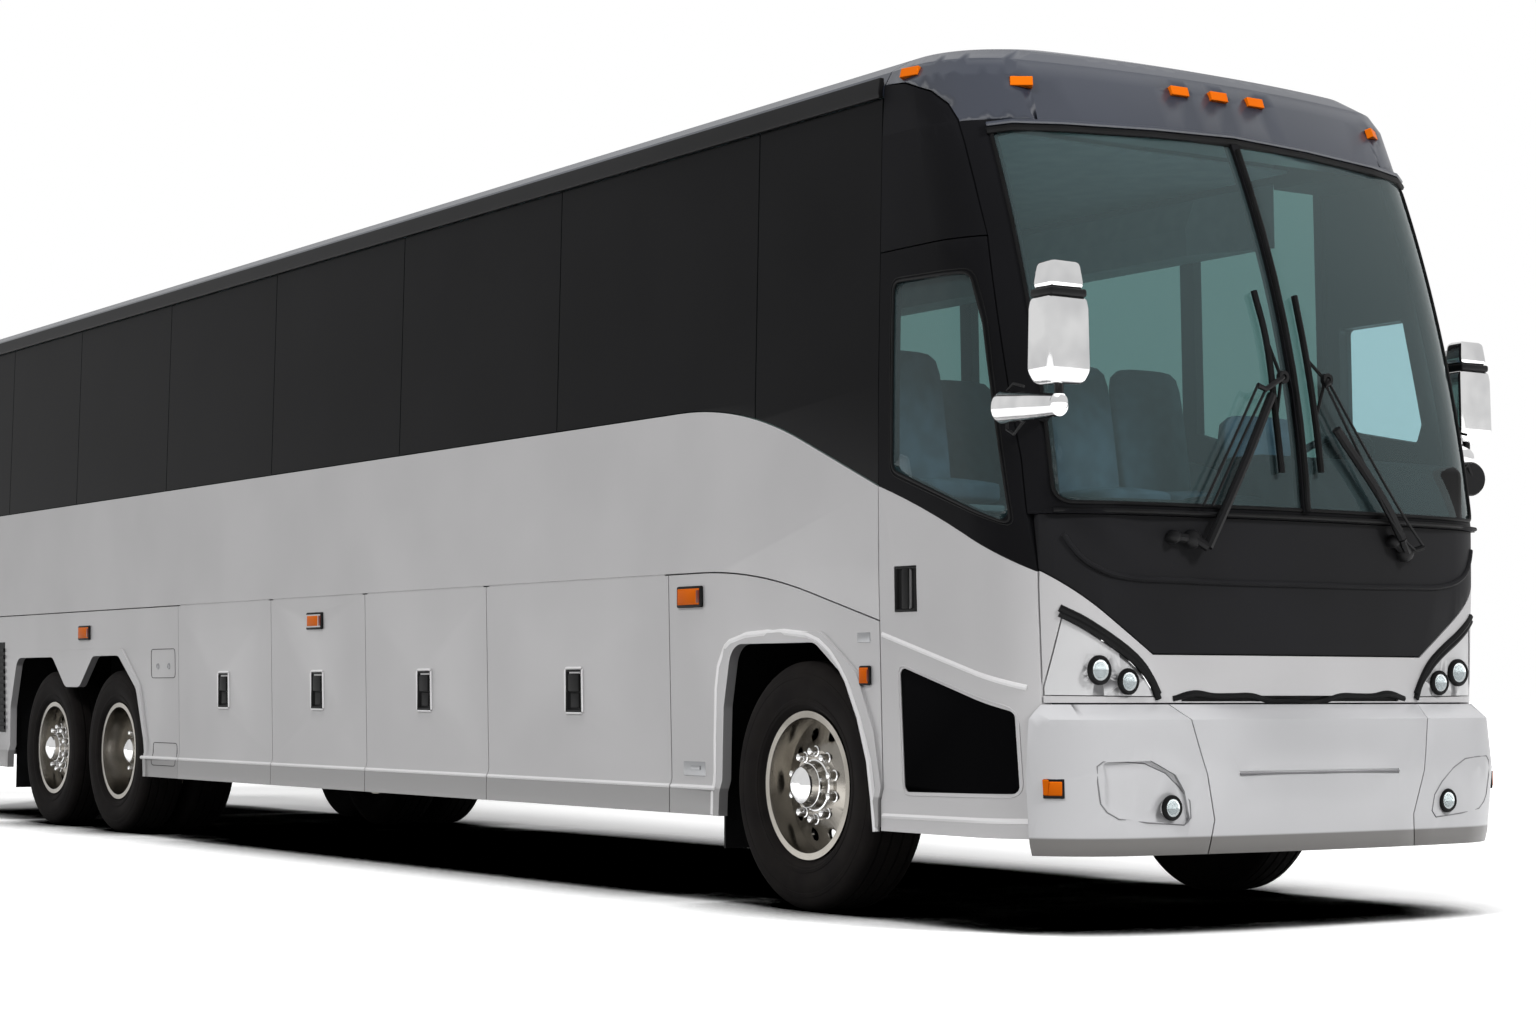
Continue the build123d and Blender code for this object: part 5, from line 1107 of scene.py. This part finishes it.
SHADE_REACH = 1.4                       # how far from the bus the floor's shade deepens
SHADE_DARK, SHADE_CLEAR = 0.50, 0.80    # openness at which the seen floor is black, and at which it is full
FLOOR_SEEN = 1.35                       # strength of the seen floor where nothing shades it
FLOOR_NEAR, FLOOR_FAR = 10.5, 19.0      # where the floor's own white starts and is full, from the middle
WORLD_LIGHT, WORLD_MIRRORED = 0.30, 0.75
# Softboxes: name, place, what they point at, size and watts
SOFTBOXES = (("key_softbox", (10, -17, 17), (0, -1, 1.5), 3.0, 3950),
             ("front_softbox", (20, 4, 12), (5, 0, 1.5), 3.0, 3200),
             ("top_softbox", (1, -4, 18), (0, 0, 0), 4.0, 1500))


def seen_by(tree, *rays):
    """One for rays of the kinds given, nought for the others."""
    path = add(tree, "LightPath")
    seen = path.outputs[f"Is {rays[0]} Ray"]
    for ray in rays[1:]:
        seen = add(tree, "Math", (0, seen), (1, path.outputs[f"Is {ray} Ray"]), operation="MAXIMUM")
    return seen


def floor_material():
    """Pale studio floor: mid grey for the light it gives back, white but for the shade where it is seen."""
    material, tree, place = new_material("pale_studio_floor")
    seen = seen_by(tree, "Camera", "Glossy", "Transmission")
    plain, _ = drift(tree, place, ("#5e5e5e", "#666666"), FLOOR_DRIFT)
    lit = add(tree, "BsdfDiffuse", ("Color", plain))
    near = add(tree, "AmbientOcclusion", ("Distance", SHADE_REACH), samples=16).outputs["AO"]
    white = add(tree, "MapRange", ("Value", near), ("From Min", SHADE_DARK), ("From Max", SHADE_CLEAR),
                ("To Max", FLOOR_SEEN))
    bright = add(tree, "BsdfDiffuse", ("Color", white))
    matt = add(tree, "MixShader", ("Fac", seen), (1, lit), (2, bright))
    reach = add(tree, "VectorMath", (0, place), operation="LENGTH").outputs["Value"]
    away = add(tree, "MapRange", ("Value", reach), ("From Min", FLOOR_NEAR), ("From Max", FLOOR_FAR))
    strength = add(tree, "Math", (0, seen), (1, away), operation="MULTIPLY")
    glow = add(tree, "Emission", ("Color", "#ffffff"), ("Strength", strength))
    return surfaced(material, add(tree, "AddShader", (0, matt), (1, glow)))


def build_world():
    """White where the camera or glass looks at it, and a soft grey light on the bus."""
    world = bpy.data.worlds.new("studio")
    bpy.context.scene.world = world
    world.use_nodes = True
    tree = world.node_tree
    tree.nodes.clear()
    level = add(tree, "MapRange", ("Value", seen_by(tree, "Glossy")), ("To Min", WORLD_LIGHT),
                ("To Max", WORLD_MIRRORED))
    soft = add(tree, "Background", ("Color", "#ffffff"), ("Strength", level))
    white = add(tree, "Background", ("Color", "#ffffff"), ("Strength", 1.0))
    mix = add(tree, "MixShader", ("Fac", seen_by(tree, "Camera", "Transmission")), (1, soft), (2, white))
    add(tree, "OutputWorld", ("Surface", mix))


def build_stage():
    """Floor, world and three softboxes that don't show in glossy surfaces."""
    bpy.ops.object.select_all(action="DESELECT")
    bpy.ops.mesh.primitive_plane_add(size=400, location=(0, 0, -0.002))
    floor = bpy.context.active_object
    floor.name = "floor"
    floor.data.materials.append(floor_material())
    build_world()
    for name, place, aim, size, power in SOFTBOXES:
        lamp = bpy.data.lights.new(name, "AREA")
        lamp.size, lamp.energy = size, power
        light = bpy.data.objects.new(name, lamp)
        light.visible_glossy = False
        bpy.context.scene.collection.objects.link(light)
        way = Vector(aim) - Vector(place)
        light.matrix_world = Matrix.Translation(place) @ way.to_track_quat("-Z", "Y").to_matrix().to_4x4()


build_camera()
build_stage()
bpy.context.scene.view_settings.view_transform = "Standard"
